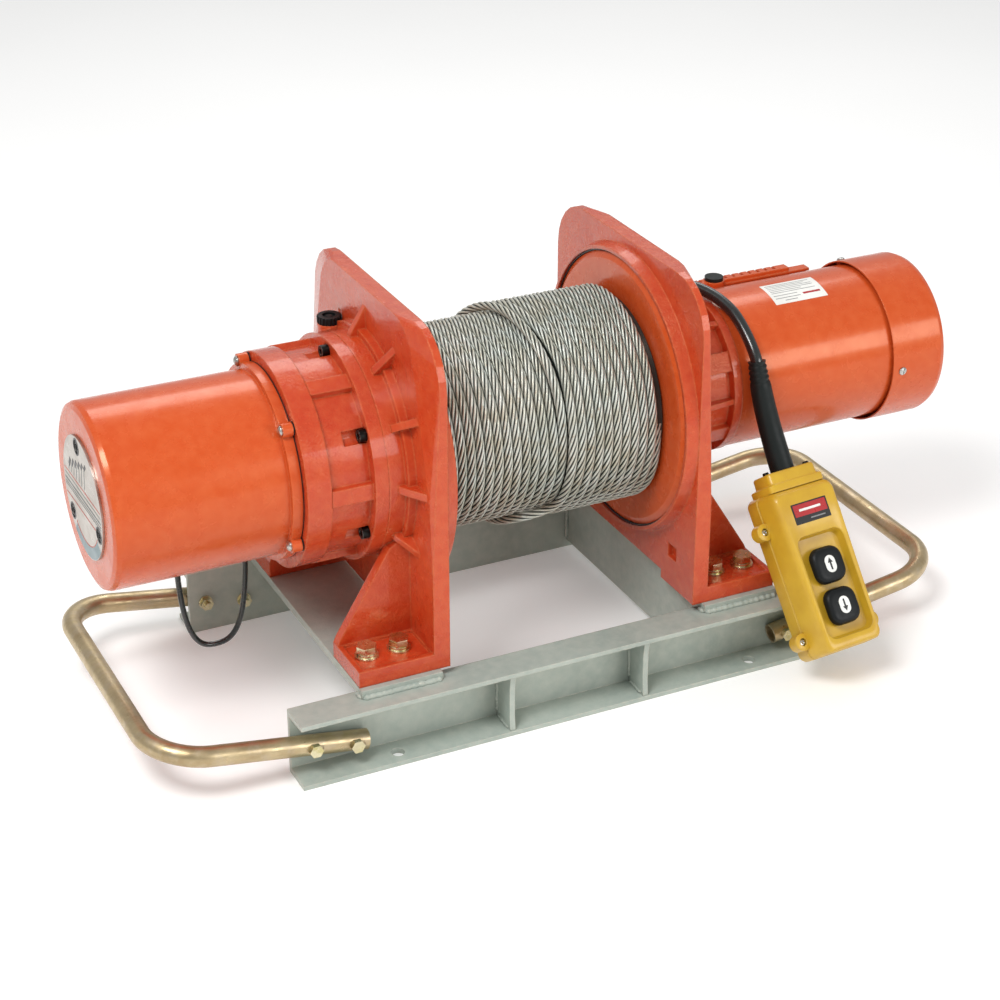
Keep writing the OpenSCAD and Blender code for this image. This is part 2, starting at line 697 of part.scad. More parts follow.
// Front and rear rotor bearings, each as an inner and an outer ring with its balls.
rotor_bearing_r = 26;
rotor_bearing_w = 13;
rotor_seat_r = 10;
module motor_bearings() color(steel) for (x = [226.2, 424]) {
    ring(x, x + rotor_bearing_w, rotor_bearing_r, 20.5);
    ring(x, x + rotor_bearing_w, 15.5, rotor_seat_r + eps);
    around(8, 18, 0, x + rotor_bearing_w / 2) sphere(2.4, $fn = 32);
}

// The three cowl screws stand on spokes from the motor axis; children point outwards.
module cowl_spokes() for (a = [62, 182, 302]) axial(446) rotate(a) rotate([0, 90, 0]) children();

// Shell with the wire opening under the terminal box and three bosses inside the cowl.
module motor_shell() color(paint) difference() {
    union() {
        ring(adapter_end + 0.1, shell_end, motor_r, motor_r - shell_t);
        cowl_spokes() translate([0, 0, motor_r - 3]) cylinder(h = cowl_r - motor_r + 1, r = 5.5);
    }
    translate([330, 76, axis_z + 20]) cylinder(h = 40, r = 8);
    cowl_spokes() translate([0, 0, 70]) cylinder(h = 30, r = 2.6);
    ring(adapter_end, shell_end + 1, motor_r - shell_t);
}

// Laminated core with its slots, and the winding overhang at both ends.
core_x0 = 285;
core_x1 = 395;
module stator() color([0.45, 0.40, 0.34]) difference() {
    union() {
        ring(core_x0, core_x1, motor_r - shell_t - eps, 55);
        ring(262, 418, 78, 60);
    }
    for (i = [0 : 23]) axial(core_x0 - 5) rotate(i * 15) translate([54, -1.5, 0])
        cube([6, 3, core_x1 - core_x0 + 10]);
}

module rotor() color(steel) ring(core_x0, core_x1, 54.4, 14 + eps);

module rear_endshield() color([0.6, 0.6, 0.6]) difference() {
    turned([[20, 422], [30, 422], [34, 428], [motor_r - shell_t - eps, 434],
        [motor_r - shell_t - eps, 450], [50, 450], [20, 441]]);
    ring(423.5, 438, rotor_bearing_r + eps);
    cowl_spokes() translate([0, 0, 70]) cylinder(h = 20, r = 2.6);
}

module brake_magnet() color([0.3, 0.3, 0.32]) ring(450.1, 464, 56, 18);

// Friction disc and its hub, on the rotor shaft.
module brake_disc() color([0.35, 0.33, 0.30]) turned([[10 + eps, 465.5], [54, 465.5], [54, 470],
    [22, 470], [22, 476], [10 + eps, 476]]);

module cooling_fan() color(black) union() {
    turned([[10 + eps, 479], [20, 479], [24, 483], [76, 483], [76, 485], [22, 485], [20, 495],
        [10 + eps, 495]]);
    for (a = [0 : 45 : 315]) axial(484.9) rotate(a) translate([23, -1.2, 0]) cube([50, 2.4, 11]);
}

module fan_cowl() color(paint) difference() {
    turned([[cowl_r, 434], [cowl_r, cowl_end - 7], [cowl_r - 2, cowl_end - 2],
        [cowl_r - 7, cowl_end], [0, cowl_end], [0, cowl_end - 1.6], [cowl_r - 7.5, cowl_end - 1.6],
        [cowl_r - 3, cowl_end - 4], [cowl_r - 1.6, cowl_end - 8], [cowl_r - 1.6, 434]]);
    for (i = [0 : 3]) around(12 + 6 * i, 22 + 16 * i, 0, cowl_end - 4) cylinder(h = 8, r = 3.4, $fn = 24);
    cowl_spokes() translate([0, 0, 80]) cylinder(h = 20, r = 2.6);
}

module cowl_screws() color(steel) cowl_spokes() {
    translate([0, 0, 74]) cylinder(h = cowl_r - 73.9, r = 2.5);
    translate([0, 0, cowl_r + 0.05]) difference() {
        intersection() {
            cylinder(h = 3, r = 4.6);
            translate([0, 0, -4]) sphere(7);
        }
        for (t = [0, 90]) rotate(t) translate([-4, -0.5, 1.6]) cube([8, 1, 3]);
    }
}

// Terminal box saddled on the back of the motor shell, open at the top. Its rim is level at the
// front and falls towards the back.
box_x0 = 254;
box_x1 = 409;
box_y0 = 56;
box_y1 = 102;
box_z = 345;
box_floor = 300;
box_wall = 6;
roof_y = 66;           // where the rim starts to fall
roof_fall = 0.7;
gland_y = 89.5;
gland_z = 315;

// Layer from x0 to x1 that follows the rim, t thick, its level front part at z.
module roof(x0, x1, y0, y1, z, t) translate([x0, 0, 0]) rotate([90, 0, 90]) linear_extrude(x1 - x0) {
    drop = roof_fall * (y1 - roof_y);
    polygon([[y0, z], [roof_y, z], [y1, z - drop], [y1, z - drop + t], [roof_y, z + t], [y0, z + t]]);
}

// Space kept free over the motor shell.
module shell_space() ring(box_x0 - 5, box_x1 + 10, motor_r + eps);

// Inside of the box, upwards from z.
module box_inside(z) translate([box_x0 + box_wall, box_y0 + box_wall, z])
    cube([box_x1 - box_x0 - 2 * box_wall, box_y1 - box_y0 - 2 * box_wall, 60]);

module terminal_box() color(paint) difference() {
    translate([box_x0, box_y0, box_floor]) cube([box_x1 - box_x0, box_y1 - box_y0, 60]);
    roof(box_x0 - 1, box_x1 + 1, box_y0 - 1, box_y1 + 1, box_z, 80);
    box_inside(box_floor + box_wall);
    shell_space();
    rod_x(box_x0 - 5, box_x0 + 10, 8, gland_y, gland_z);
}

// Lid with a raised top that has cooling slots across it.
lid_z = box_z + 1.9;
lid_t = 3;
lid_raised_t = 4.8;
lid_plug = [288, 60, lid_z + lid_t + lid_raised_t];
module terminal_lid() color(paint) difference() {
    union() {
        roof(box_x0 - 2, box_x1 + 2, box_y0 - 2, box_y1 + 2, lid_z, lid_t);
        roof(box_x0 + 6, 384, box_y0 - 1, box_y1 - 8, lid_z + 1, lid_t + lid_raised_t - 1);
        translate([lid_plug[0], lid_plug[1], lid_z]) cylinder(h = lid_t + lid_raised_t, r = 12);
    }
    for (i = [0 : 9]) let (x = 271.3 + 10.65 * i)
        roof(x - 1.9, x + 1.9, box_y0 + 2, box_y1 - 6, lid_plug[2] - 3.8, 10);
    translate(lid_plug - [0, 0, 12]) cylinder(h = 20, r = 6);
    shell_space();
}

// Gasket under the lid, blanking plug on it, and the gland of the pendant cable.
module terminal_seals() color(black) {
    difference() {
        roof(box_x0 + 0.5, box_x1 - 0.5, box_y0 + 0.5, box_y1 - 0.5, box_z + 0.05, 1.8);
        box_inside(box_floor);
        shell_space();
    }
    translate(lid_plug + [0, 0, 0.05]) {
        cylinder(h = 4, r = 10.5);
        translate([0, 0, -7]) cylinder(h = 7.1, r = 5.9);
    }
    translate([box_x0 - 21, gland_y, gland_z]) rotate([0, 90, 0]) difference() {
        union() {
            cylinder(h = 26, r = 7.9);
            translate([0, 0, 8.9]) hexagon(17, 12);
            cylinder(h = 9, r = 8.4);
        }
        translate([0, 0, -1]) cylinder(h = 30, r = cable_r + 0.3);
    }
}

// ---------- cables ----------

function pendant_world(p) =
    let (c = cos(pendant_lean), s = sin(pendant_lean), q = [p[0], p[1] * s - p[2] * c, p[1] * c + p[2] * s])
    pendant_at + [q[0] * cos(pendant_yaw) - q[1] * sin(pendant_yaw),
        q[0] * sin(pendant_yaw) + q[1] * cos(pendant_yaw), q[2]];

cable_r = 6.5;
sleeve_top = [253, -93, 322];
sleeve_low = pendant_world([0, pendant_h + 12, 26]);

// Cable from the box gland over the motor shell, then its tapered sleeve down to the pendant.
module pendant_cable() color(black) {
    path = concat(
        [[box_x0 - 4, gland_y, gland_z]],
        curve([231, gland_y, gland_z], [206, gland_y, gland_z], [196, 62, 366], [216, 28, 374], 7),
        curve([216, 28, 374], [230, 10, 378], [246, -14, 374], [250, -46, 361], 7, 1),
        curve([250, -46, 361], [252, -66, 351], [252, -85, 336], sleeve_top, 6, 1));
    sleeve = curve(sleeve_top, sleeve_top + [2, -11, -40],
        pendant_world([0, 260, 26]) - [0, 5, 0], sleeve_low, 8, 1);
    count = len(path);
    sweep(concat(path, sleeve),
        [for (i = [0 : count + len(sleeve) - 1]) i < count ? cable_r : 11 + 2 * (i - count) / 7], 14);
}

module control_cable() color(black) sweep(concat(
    curve([-372, 20, axis_z - 88], [-372, 20, 70], [-352, 20, 62], [-334, 20, 62], 9),
    curve([-334, 20, 62], [-314, 20, 62], [-296, 20, 72], [-296, 20, axis_z - 88], 9, 1)),
    [for (i = [0 : 18]) 3], 10);

// ---------- pendant ----------

module in_pendant() {
    translate(pendant_at) rotate([90 - pendant_lean, 0, pendant_yaw]) children();
}

button_y = [92, 46];
button_z = 41;         // floor of the button well

module rounded_block(w, h, d, r) {
    translate([0, h / 2, 0]) linear_extrude(d) union() {
        square([w - 2 * r, h], center = true);
        square([w, h - 2 * r], center = true);
        for (x = [-1, 1], y = [-1, 1]) translate([x * (w / 2 - r), y * (h / 2 - r)]) circle(r);
    }
}

// Moulded body: two half shells with side bosses, a sunken well and round button guides.
module pendant_case() color(yellow) in_pendant() difference() {
    union() {
        rounded_block(pendant_w, pendant_h, pendant_d - 10, 9);
        translate([0, 2, pendant_d - 10.1]) rounded_block(pendant_w - 3, pendant_h - 3, 10.1, 8);
        for (x = [-1, 1], y = [22, 146]) translate([x * (pendant_w / 2 + 4), y, 12])
            cylinder(h = 14, r = 9.5);
    }
    translate([0, 14, button_z]) rounded_block(pendant_w - 22, 112, 20, 9);
    translate([0, 8, 5]) rounded_block(pendant_w - 10, pendant_h - 16, button_z - 8, 6);
    for (y = button_y) translate([0, y, button_z - 5]) cylinder(h = 10, r = 12);
    for (x = [-1, 1], y = [22, 146]) translate([x * (pendant_w / 2 + 4), y, 20])
        cylinder(h = 10, r = 4.5);
    translate([0, pendant_h - 20, 26]) rotate([-90, 0, 0]) cylinder(h = 30, r = 13);
}

module pendant_cap() color(yellow) in_pendant() difference() {
    union() {
        translate([0, pendant_h + 0.1, 4]) rounded_block(pendant_w - 10, 7, pendant_d - 10, 3);
        translate([0, pendant_h + 7, 26]) rotate([-90, 0, 0])
            linear_extrude(13) union() {
                square([58, 34], center = true);
                square([66, 24], center = true);
            }
    }
    translate([0, pendant_h - 1, 26]) rotate([-90, 0, 0]) cylinder(h = 30, r = 14.5);
}

// Square rubber button top on a round plunger; travel is into the case.
module button(y) color(black) in_pendant() translate([0, y, 0]) {
    translate([0, 0, button_z - 14]) cylinder(h = 19, r = 11.9);
    translate([0, -18, button_z + 4.5]) rounded_block(36, 36, 4.5, 11);
    translate([0, -16, button_z + 8.9]) rounded_block(32, 32, 3, 10);
}

module up_button() button(button_y[0]);
module down_button() button(button_y[1]);

front_channel();
rear_channel();
left_cross_angle();
right_cross_angle();
channel_stiffeners();
left_handle();
right_handle();
handle_bolts();
left_support();
right_support();
foot_bolts();
foot_washers();
foot_nuts();
drum();
wire_rope();
drum_bearing_inners();
drum_bearings();
drum_seals();
gear_housing();
housing_screws();
ring_gear();
drive_shaft();
sun_carrier();
first_planet_pins();
output_carrier();
second_planet_pins();
first_planet_a();
first_planet_b();
first_planet_c();
second_planet_a();
second_planet_b();
second_planet_c();
cover_gasket();
end_cover();
cover_screws();
end_plate();
end_plate_screws();
contactors();
oil_plug();
motor_adapter();
adapter_screws();
motor_bearings();
motor_shell();
stator();
rotor();
rear_endshield();
brake_magnet();
brake_disc();
cooling_fan();
fan_cowl();
cowl_screws();
terminal_box();
terminal_lid();
terminal_seals();
pendant_cable();
control_cable();
pendant_case();
pendant_cap();
up_button();
down_button();
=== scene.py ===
"""Looks for the electric wire rope winch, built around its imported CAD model."""

import json
import math

import bmesh
import bpy
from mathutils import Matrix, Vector, noise


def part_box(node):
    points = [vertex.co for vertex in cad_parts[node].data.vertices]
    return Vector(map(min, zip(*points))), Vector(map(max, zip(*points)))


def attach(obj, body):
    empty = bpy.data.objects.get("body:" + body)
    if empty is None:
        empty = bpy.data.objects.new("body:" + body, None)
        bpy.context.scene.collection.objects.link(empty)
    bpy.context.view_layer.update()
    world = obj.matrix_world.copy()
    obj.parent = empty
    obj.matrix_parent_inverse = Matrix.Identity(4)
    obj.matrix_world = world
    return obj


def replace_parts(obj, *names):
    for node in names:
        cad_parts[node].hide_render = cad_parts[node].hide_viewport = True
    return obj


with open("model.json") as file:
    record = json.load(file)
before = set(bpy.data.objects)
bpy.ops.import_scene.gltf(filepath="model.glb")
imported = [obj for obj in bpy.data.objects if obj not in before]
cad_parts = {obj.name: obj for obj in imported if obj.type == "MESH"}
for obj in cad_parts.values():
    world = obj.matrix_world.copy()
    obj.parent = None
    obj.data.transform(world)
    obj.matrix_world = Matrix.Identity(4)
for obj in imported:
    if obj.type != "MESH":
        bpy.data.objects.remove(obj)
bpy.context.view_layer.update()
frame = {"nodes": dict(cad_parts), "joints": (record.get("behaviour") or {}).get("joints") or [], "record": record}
MM = 0.001
AXIS_Z = frame["joints"][0]["pos_m"][2]


def V(x, y, z):
    """A point given in millimetres."""
    return Vector((x, y, z)) * MM


# ---------- materials ----------


def srgb(r, g, b):
    """Linear colour from 0-255 display values."""
    def lin(c):
        c /= 255
        return c / 12.92 if c <= 0.04045 else ((c + 0.055) / 1.055) ** 2.4
    return (lin(r), lin(g), lin(b), 1.0)


class Graph:
    """A material built node by node. Coordinates are the object's, in metres."""

    def __init__(self, name):
        self.mat = bpy.data.materials.new(name)
        self.mat.use_nodes = True
        self.tree = self.mat.node_tree
        self.tree.nodes.clear()
        out = self.tree.nodes.new("ShaderNodeOutputMaterial")
        self.bsdf = self.tree.nodes.new("ShaderNodeBsdfPrincipled")
        self.tree.links.new(self.bsdf.outputs[0], out.inputs[0])
        self.coord = self.tree.nodes.new("ShaderNodeTexCoord")
        self.bumps = []

    def add(self, kind, props=(), **inputs):
        n = self.tree.nodes.new("ShaderNode" + kind)
        for k, v in dict(props).items():
            setattr(n, k, v)
        for k, v in inputs.items():
            self.put(n.inputs[int(k[1:]) if k[0] == "i" and k[1:].isdigit() else k.replace("_", " ")], v)
        return n

    def put(self, socket, value):
        if isinstance(value, bpy.types.NodeSocket):
            self.tree.links.new(value, socket)
        else:
            socket.default_value = value

    def set(self, **inputs):
        for k, v in inputs.items():
            self.put(self.bsdf.inputs[k.replace("_", " ")], v)
        return self

    def where(self, uv=False, scale=(1, 1, 1)):
        m = self.add("Mapping", Vector=self.coord.outputs["UV" if uv else "Object"])
        m.inputs["Scale"].default_value = scale
        return m.outputs[0]

    def noise(self, scale, detail=4, rough=0.55, uv=False, stretch=(1, 1, 1), distort=0.0):
        n = self.add("TexNoise", Vector=self.where(uv, stretch), Scale=scale, Detail=detail,
                     Roughness=rough, Distortion=distort)
        return n.outputs[0]

    def ramp(self, value, low, high, a=0.0, b=1.0):
        n = self.add("MapRange", Value=value)
        for i, v in enumerate((low, high, a, b)):
            n.inputs[i + 1].default_value = v
        return n.outputs[0]

    def math(self, op, a, b=0.0):
        return self.add("Math", {"operation": op}, i0=a, i1=b).outputs[0]

    def mix(self, factor, a, b, blend="MIX"):
        n = self.add("Mix", {"data_type": "RGBA", "blend_type": blend})
        self.put(n.inputs[0], factor)
        self.put(n.inputs[6], a)
        self.put(n.inputs[7], b)
        return n.outputs[2]

    def bump(self, height, strength, distance):
        n = self.add("Bump", Height=height, Strength=strength, Distance=distance)
        if self.bumps:
            self.tree.links.new(self.bumps[-1].outputs[0], n.inputs["Normal"])
        self.bumps.append(n)
        self.tree.links.new(n.outputs[0], self.bsdf.inputs["Normal"])

    def rounded(self, radius):
        """Softens the shading of hard edges and returns a mask of them."""
        b = self.add("Bevel", {"samples": 4}, Radius=radius)
        geo = self.add("NewGeometry")
        dot = self.add("VectorMath", {"operation": "DOT_PRODUCT"}, i0=b.outputs[0],
                       i1=geo.outputs["Normal"])
        if self.bumps:
            self.tree.links.new(b.outputs[0], self.bumps[0].inputs["Normal"])
        else:
            self.tree.links.new(b.outputs[0], self.bsdf.inputs["Normal"])
        return self.ramp(dot.outputs["Value"], 0.995, 0.85)

    def occlusion(self, distance):
        n = self.add("AmbientOcclusion", {"samples": 4}, Distance=distance)
        return n.outputs["AO"]


def paint(name, base, dark, light, cast=0.0, rough=0.34, edge=0.0012, chips=None, coat=0.12):
    """Sprayed paint: cloudy colour, orange peel or cast grain, painted shade in corners and tight gaps, thin
    rubbed edges lightened partly as scuffed paint and partly as a painted highlight.
    """
    g = Graph(name)
    cloud = g.ramp(g.noise(7, 5), 0.35, 0.65)
    fine = g.ramp(g.noise(90, 3), 0.35, 0.7)
    colour = g.mix(g.math("MULTIPLY", cloud, 0.5 if cast else 0.28), base, dark)
    colour = g.mix(g.math("MULTIPLY", fine, 0.2), colour, light)
    g.bump(g.noise(420, 2), 0.08, 0.0006)
    if cast:
        g.bump(g.noise(400, 3, 0.6), cast, 0.0012)
        g.bump(g.noise(110, 5, 0.65), cast * 0.8, 0.0014)
        g.bump(g.ramp(g.noise(45, 3, 0.6), 0.3, 0.7), cast * 0.6, 0.0014)
    # Rounded edges lighten towards the light colour: partly scuffed paint, partly a painted highlight.
    edge_mask = g.rounded(edge)
    spots = g.ramp(g.noise(260, 5, 0.7), 0.50, 0.62)
    edge_wear_and_highlight = g.math("MULTIPLY", edge_mask, g.math("MULTIPLY_ADD", spots, 0.75))
    colour = g.mix(g.math("MULTIPLY", edge_wear_and_highlight, 0.8), colour, light)
    # Painted shade: darker towards the dark colour in corners and recesses found by ambient occlusion.
    crevice_shade = g.ramp(g.occlusion(0.022), 0.55, 0.05)
    colour = g.mix(g.math("MULTIPLY", crevice_shade, 0.55), colour, dark)
    # Painted shade: near black in tight gaps between parts.
    gap_shade = g.ramp(g.occlusion(0.0022), 0.34, 0.06)
    colour = g.mix(g.math("MULTIPLY", gap_shade, 0.9), colour, (0.012, 0.010, 0.008, 1))
    if chips:
        bare = g.math("MULTIPLY", edge_mask, g.ramp(g.noise(120, 6, 0.75), 0.50, 0.56))
        colour = g.mix(bare, colour, chips)
        g.set(Metallic=g.math("MULTIPLY", bare, 0.9))
    g.set(Base_Color=colour, Roughness=g.ramp(g.noise(35, 5), 0.3, 0.7, rough - 0.06, rough + 0.1),
          Specular_Tint=srgb(255, 214, 170), Specular_IOR_Level=0.6, Coat_Weight=coat, Coat_Roughness=0.1)
    return g.mat


def metal(name, base, dark, rough=0.35, grain=(1, 1, 1), grain_scale=300, tint=None, edge=0.0006,
          metallic=1.0, pits=0.15):
    """Bare or plated metal: brushed or blotchy, with stains, painted shade in crevices, and rounded edges."""
    g = Graph(name)
    cloud = g.ramp(g.noise(25, 6, 0.6), 0.35, 0.65)
    streak = g.ramp(g.noise(grain_scale, 3, 0.6, stretch=grain), 0.35, 0.65)
    colour = g.mix(g.math("MULTIPLY", cloud, 0.7), base, dark)
    colour = g.mix(g.math("MULTIPLY", streak, 0.25), colour, dark)
    if tint:
        colour = g.mix(g.ramp(g.noise(60, 5, 0.65), 0.48, 0.66, 0, 0.75), colour, tint)
    g.bump(streak, pits, 0.0004)
    edge_mask = g.rounded(edge)
    colour = g.mix(g.math("MULTIPLY", edge_mask, 0.35), colour, (0.9, 0.9, 0.88, 1))
    # Painted shade: near black in crevices and gaps found by ambient occlusion.
    crevice_shade = g.ramp(g.occlusion(0.006), 0.5, 0.05)
    colour = g.mix(g.math("MULTIPLY", crevice_shade, 0.7), colour, (0.03, 0.03, 0.028, 1))
    g.set(Base_Color=colour, Metallic=metallic,
          Roughness=g.ramp(g.noise(80, 5), 0.3, 0.7, rough - 0.08, rough + 0.14))
    return g.mat


def plastic(name, base, dark, rough=0.4, grain=0.05, grain_scale=1400, coat=0.0, edge=0.0008, light=None,
            gloss=0.5):
    """Moulded plastic or rubber: fine texture, handling marks, painted shade in crevices, rounded edges."""
    g = Graph(name)
    cloud = g.ramp(g.noise(30, 5), 0.35, 0.7)
    colour = g.mix(g.math("MULTIPLY", cloud, 0.5), base, dark)
    g.bump(g.noise(grain_scale, 2), grain, 0.0003)
    edge_mask = g.rounded(edge)
    colour = g.mix(g.math("MULTIPLY", edge_mask, 0.25), colour, light or base)
    # Painted shade: darker in crevices and gaps found by ambient occlusion.
    crevice_shade = g.ramp(g.occlusion(0.008), 0.5, 0.05)
    colour = g.mix(g.math("MULTIPLY", crevice_shade, 0.5), colour, dark)
    g.set(Base_Color=colour, Roughness=g.ramp(g.noise(120, 4), 0.3, 0.7, rough - 0.06, rough + 0.08),
          Specular_IOR_Level=gloss, Coat_Weight=coat, Coat_Roughness=0.2)
    return g.mat


RED, RED_DARK, RED_LIGHT = srgb(200, 78, 30), srgb(172, 38, 22), srgb(222, 116, 68)
MAT = {
    "red_sheet": paint("red_sheet", RED, srgb(192, 66, 30), RED_LIGHT, rough=0.24, edge=0.002, coat=0.2),
    "red_casting": paint("red_casting", srgb(196, 66, 28), RED_DARK, RED_LIGHT, cast=0.5, rough=0.22,
                         edge=0.0028, coat=0.45),
    "frame_grey": paint("frame_grey", srgb(172, 183, 175), srgb(128, 142, 136), srgb(216, 216, 204),
                        cast=0.22, rough=0.38, edge=0.0014, chips=srgb(205, 200, 185)),
    "handle_zinc": metal("handle_zinc", srgb(204, 186, 148), srgb(160, 138, 102), 0.34, (0.15, 1, 1), 260,
                         tint=srgb(192, 176, 150), metallic=0.85),
    "bolt_zinc": metal("bolt_zinc", srgb(236, 228, 192), srgb(180, 166, 126), 0.26,
                       tint=srgb(196, 186, 120)),
    "bearing_steel": metal("bearing_steel", srgb(190, 190, 186), srgb(140, 140, 136), 0.2),
    "gear_steel": metal("gear_steel", srgb(170, 170, 166), srgb(120, 118, 112), 0.3),
    "bright_screw": metal("bright_screw", srgb(214, 214, 210), srgb(168, 166, 160), 0.24),
    "end_plate": metal("end_plate", srgb(206, 200, 192), srgb(170, 160, 150), 0.3, (1, 0.1, 1), 500),
    "black_screw": metal("black_screw", srgb(48, 48, 46), srgb(24, 24, 24), 0.34),
    "black_plastic": plastic("black_plastic", srgb(22, 25, 26), srgb(12, 14, 15), 0.4,
                             light=srgb(44, 47, 46), gloss=0.22),
    "black_rubber": plastic("black_rubber", srgb(20, 27, 26), srgb(11, 15, 15), 0.46, 0.12, 900,
                            light=srgb(44, 52, 50), gloss=0.25),
    "cable_gloss": plastic("cable_gloss", srgb(24, 30, 30), srgb(14, 17, 17), 0.24, 0.03, 500, coat=0.6),
    "stator_core": metal("stator_core", srgb(130, 124, 112), srgb(90, 84, 74), 0.45, (40, 1, 1), 60),
    "bare_aluminium": metal("bare_aluminium", srgb(180, 182, 182), srgb(140, 140, 140), 0.42),
    "dark_iron": metal("dark_iron", srgb(86, 86, 88), srgb(52, 52, 54), 0.5),
    "contactor_grey": plastic("contactor_grey", srgb(96, 98, 102), srgb(66, 68, 72), 0.5),
    "pendant_yellow": plastic("pendant_yellow", srgb(206, 166, 44), srgb(178, 132, 30), 0.36, 0.10, 1100,
                              coat=0.2, edge=0.0016, light=srgb(240, 218, 140)),
    "label_white": plastic("label_white", srgb(236, 236, 230), srgb(206, 206, 200), 0.35, 0.02),
    "label_black": plastic("label_black", srgb(22, 22, 24), srgb(12, 12, 12), 0.3, 0.02),
    "label_red": plastic("label_red", srgb(176, 30, 34), srgb(140, 20, 26), 0.3, 0.02),
    "plate_red": plastic("plate_red", srgb(206, 84, 60), srgb(190, 70, 50), 0.4, 0.02),
    "plate_grey": metal("plate_grey", srgb(138, 146, 146), srgb(100, 108, 108), 0.4),
    "plate_blue": metal("plate_blue", srgb(150, 166, 170), srgb(112, 130, 134), 0.36),
    "label_grey": plastic("label_grey", srgb(150, 150, 150), srgb(120, 120, 120), 0.35, 0.02),
}


def rope_material():
    """Stranded wire: fine wires along bright strands, painted shade between the wraps and in the valleys between
    strands, uneven tint.
    """
    g = Graph("rope_steel")
    wires = g.add("TexWave", {"wave_type": "BANDS", "bands_direction": "DIAGONAL"},
                  Vector=g.where(True, (1, 1.5, 1)), Scale=1.0, Distortion=0.6, Detail=1.0)
    crown = g.add("SeparateXYZ", Vector=g.coord.outputs["UV"]).outputs[1]
    tint = g.ramp(g.noise(55, 4), 0.38, 0.62)
    colour = g.mix(tint, srgb(228, 230, 220), srgb(204, 198, 178))
    colour = g.mix(g.ramp(g.noise(14, 3), 0.4, 0.6, 0, 0.4), colour, srgb(184, 198, 190))
    colour = g.mix(g.ramp(g.noise(170, 3), 0.60, 0.72, 0, 0.5), colour, srgb(166, 132, 84))
    colour = g.mix(g.math("MULTIPLY", wires.outputs["Fac"], 0.22), colour, srgb(104, 104, 96))
    # Painted shade: dark between the wraps, where ambient occlusion finds narrow openings.
    crevice_shade = g.ramp(g.occlusion(0.0035), 0.5, 0.08)
    colour = g.mix(g.math("MULTIPLY", crevice_shade, 0.85), colour, srgb(20, 30, 30))
    # Painted shade: darker towards the valleys between strands.
    colour = g.mix(g.ramp(crown, 0.12, 0.62, 0.95, 0.0), colour, srgb(18, 32, 32))
    g.bump(wires.outputs["Fac"], 0.3, 0.0003)
    g.set(Base_Color=colour, Metallic=0.5, Roughness=g.ramp(g.noise(200, 3), 0.3, 0.7, 0.3, 0.44))
    return g.mat


MAT["rope_steel"] = rope_material()
slot_of = {s["node"]: s["material_slot"] for s in frame["record"]["subparts"]}
for node, obj in frame["nodes"].items():
    material = MAT["end_plate" if node == "end_plate" else slot_of[node]]
    for s in obj.material_slots:
        s.material = material
    if not obj.material_slots:
        obj.data.materials.append(material)

# ---------- mesh helpers ----------


def piece(name, verts, faces, look, body="frame", slot=None, smooth=True, uv=None, angle=40):
    """A visible mesh with its look and the body it rides on; the slot argument is not used."""
    mesh = bpy.data.meshes.new(name)
    mesh.from_pydata([tuple(v) for v in verts], [], faces)
    mesh.validate()
    if uv:
        layer = mesh.uv_layers.new(name="UV")
        for loop in mesh.loops:
            layer.data[loop.index].uv = uv[loop.vertex_index]
    bm = bmesh.new()
    bm.from_mesh(mesh)
    bmesh.ops.recalc_face_normals(bm, faces=bm.faces)
    for e in bm.edges:
        e.smooth = len(e.link_faces) == 2 and e.calc_face_angle(0) < math.radians(angle)
    for f in bm.faces:
        f.smooth = smooth
    bm.to_mesh(mesh)
    bm.free()
    mesh.materials.append(MAT[look])
    obj = bpy.data.objects.new(name, mesh)
    bpy.context.scene.collection.objects.link(obj)
    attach(obj, body)
    return obj


def loft(loops, caps=True):
    """Vertices and faces joining loops of equal length; the first and last are closed."""
    n = len(loops[0])
    verts = [p for loop in loops for p in loop]
    faces = [(i * n + k, i * n + (k + 1) % n, (i + 1) * n + (k + 1) % n, (i + 1) * n + k)
             for i in range(len(loops) - 1) for k in range(n)]
    if caps:
        faces += [tuple(reversed(range(n))), tuple(range((len(loops) - 1) * n, len(loops) * n))]
    return verts, faces


def join(parts):
    """Several (verts, faces) as one."""
    verts, faces = [], []
    for v, f in parts:
        base = len(verts)
        verts += v
        faces += [tuple(base + i for i in face) for face in f]
    return verts, faces


def frames(path):
    """Position, and two unit vectors across the path, carried along without twisting."""
    out = []
    u = None
    for i, p in enumerate(path):
        d = (path[min(i + 1, len(path) - 1)] - path[max(i - 1, 0)]).normalized()
        if u is None:
            u = d.orthogonal().normalized()
        u = (u - d * u.dot(d)).normalized()
        out.append((p, u, d.cross(u)))
    return out


def sweep(path, radius, sides=20):
    """Round tube along a path; radius is a number or one per point."""
    loops = []
    for i, (p, u, v) in enumerate(frames(path)):
        r = radius[i] if isinstance(radius, list) else radius
        loops.append([p + r * (math.cos(a) * u + math.sin(a) * v)
                      for a in (2 * math.pi * k / sides for k in range(sides))])
    return loft(loops)


def bezier(a, b, c, d, steps, first=0):
    """Points of a cubic curve, from step first on."""
    return [((1 - t) ** 3) * a + 3 * (1 - t) ** 2 * t * b + 3 * (1 - t) * t * t * c + t ** 3 * d
            for t in (i / steps for i in range(first, steps + 1))]


def rounded(w, h, r, cx=0.0, cy=0.0, corner=6):
    """Outline of a rectangle with round corners, anticlockwise from its right side."""
    pts = []
    for q, (sx, sy) in enumerate(((1, 1), (-1, 1), (-1, -1), (1, -1))):
        for i in range(corner + 1):
            a = math.radians(90 * q + 90 * i / corner)
            pts.append((cx + sx * (w / 2 - r) + r * math.cos(a), cy + sy * (h / 2 - r) + r * math.sin(a)))
    return pts


# ---------- wire rope ----------

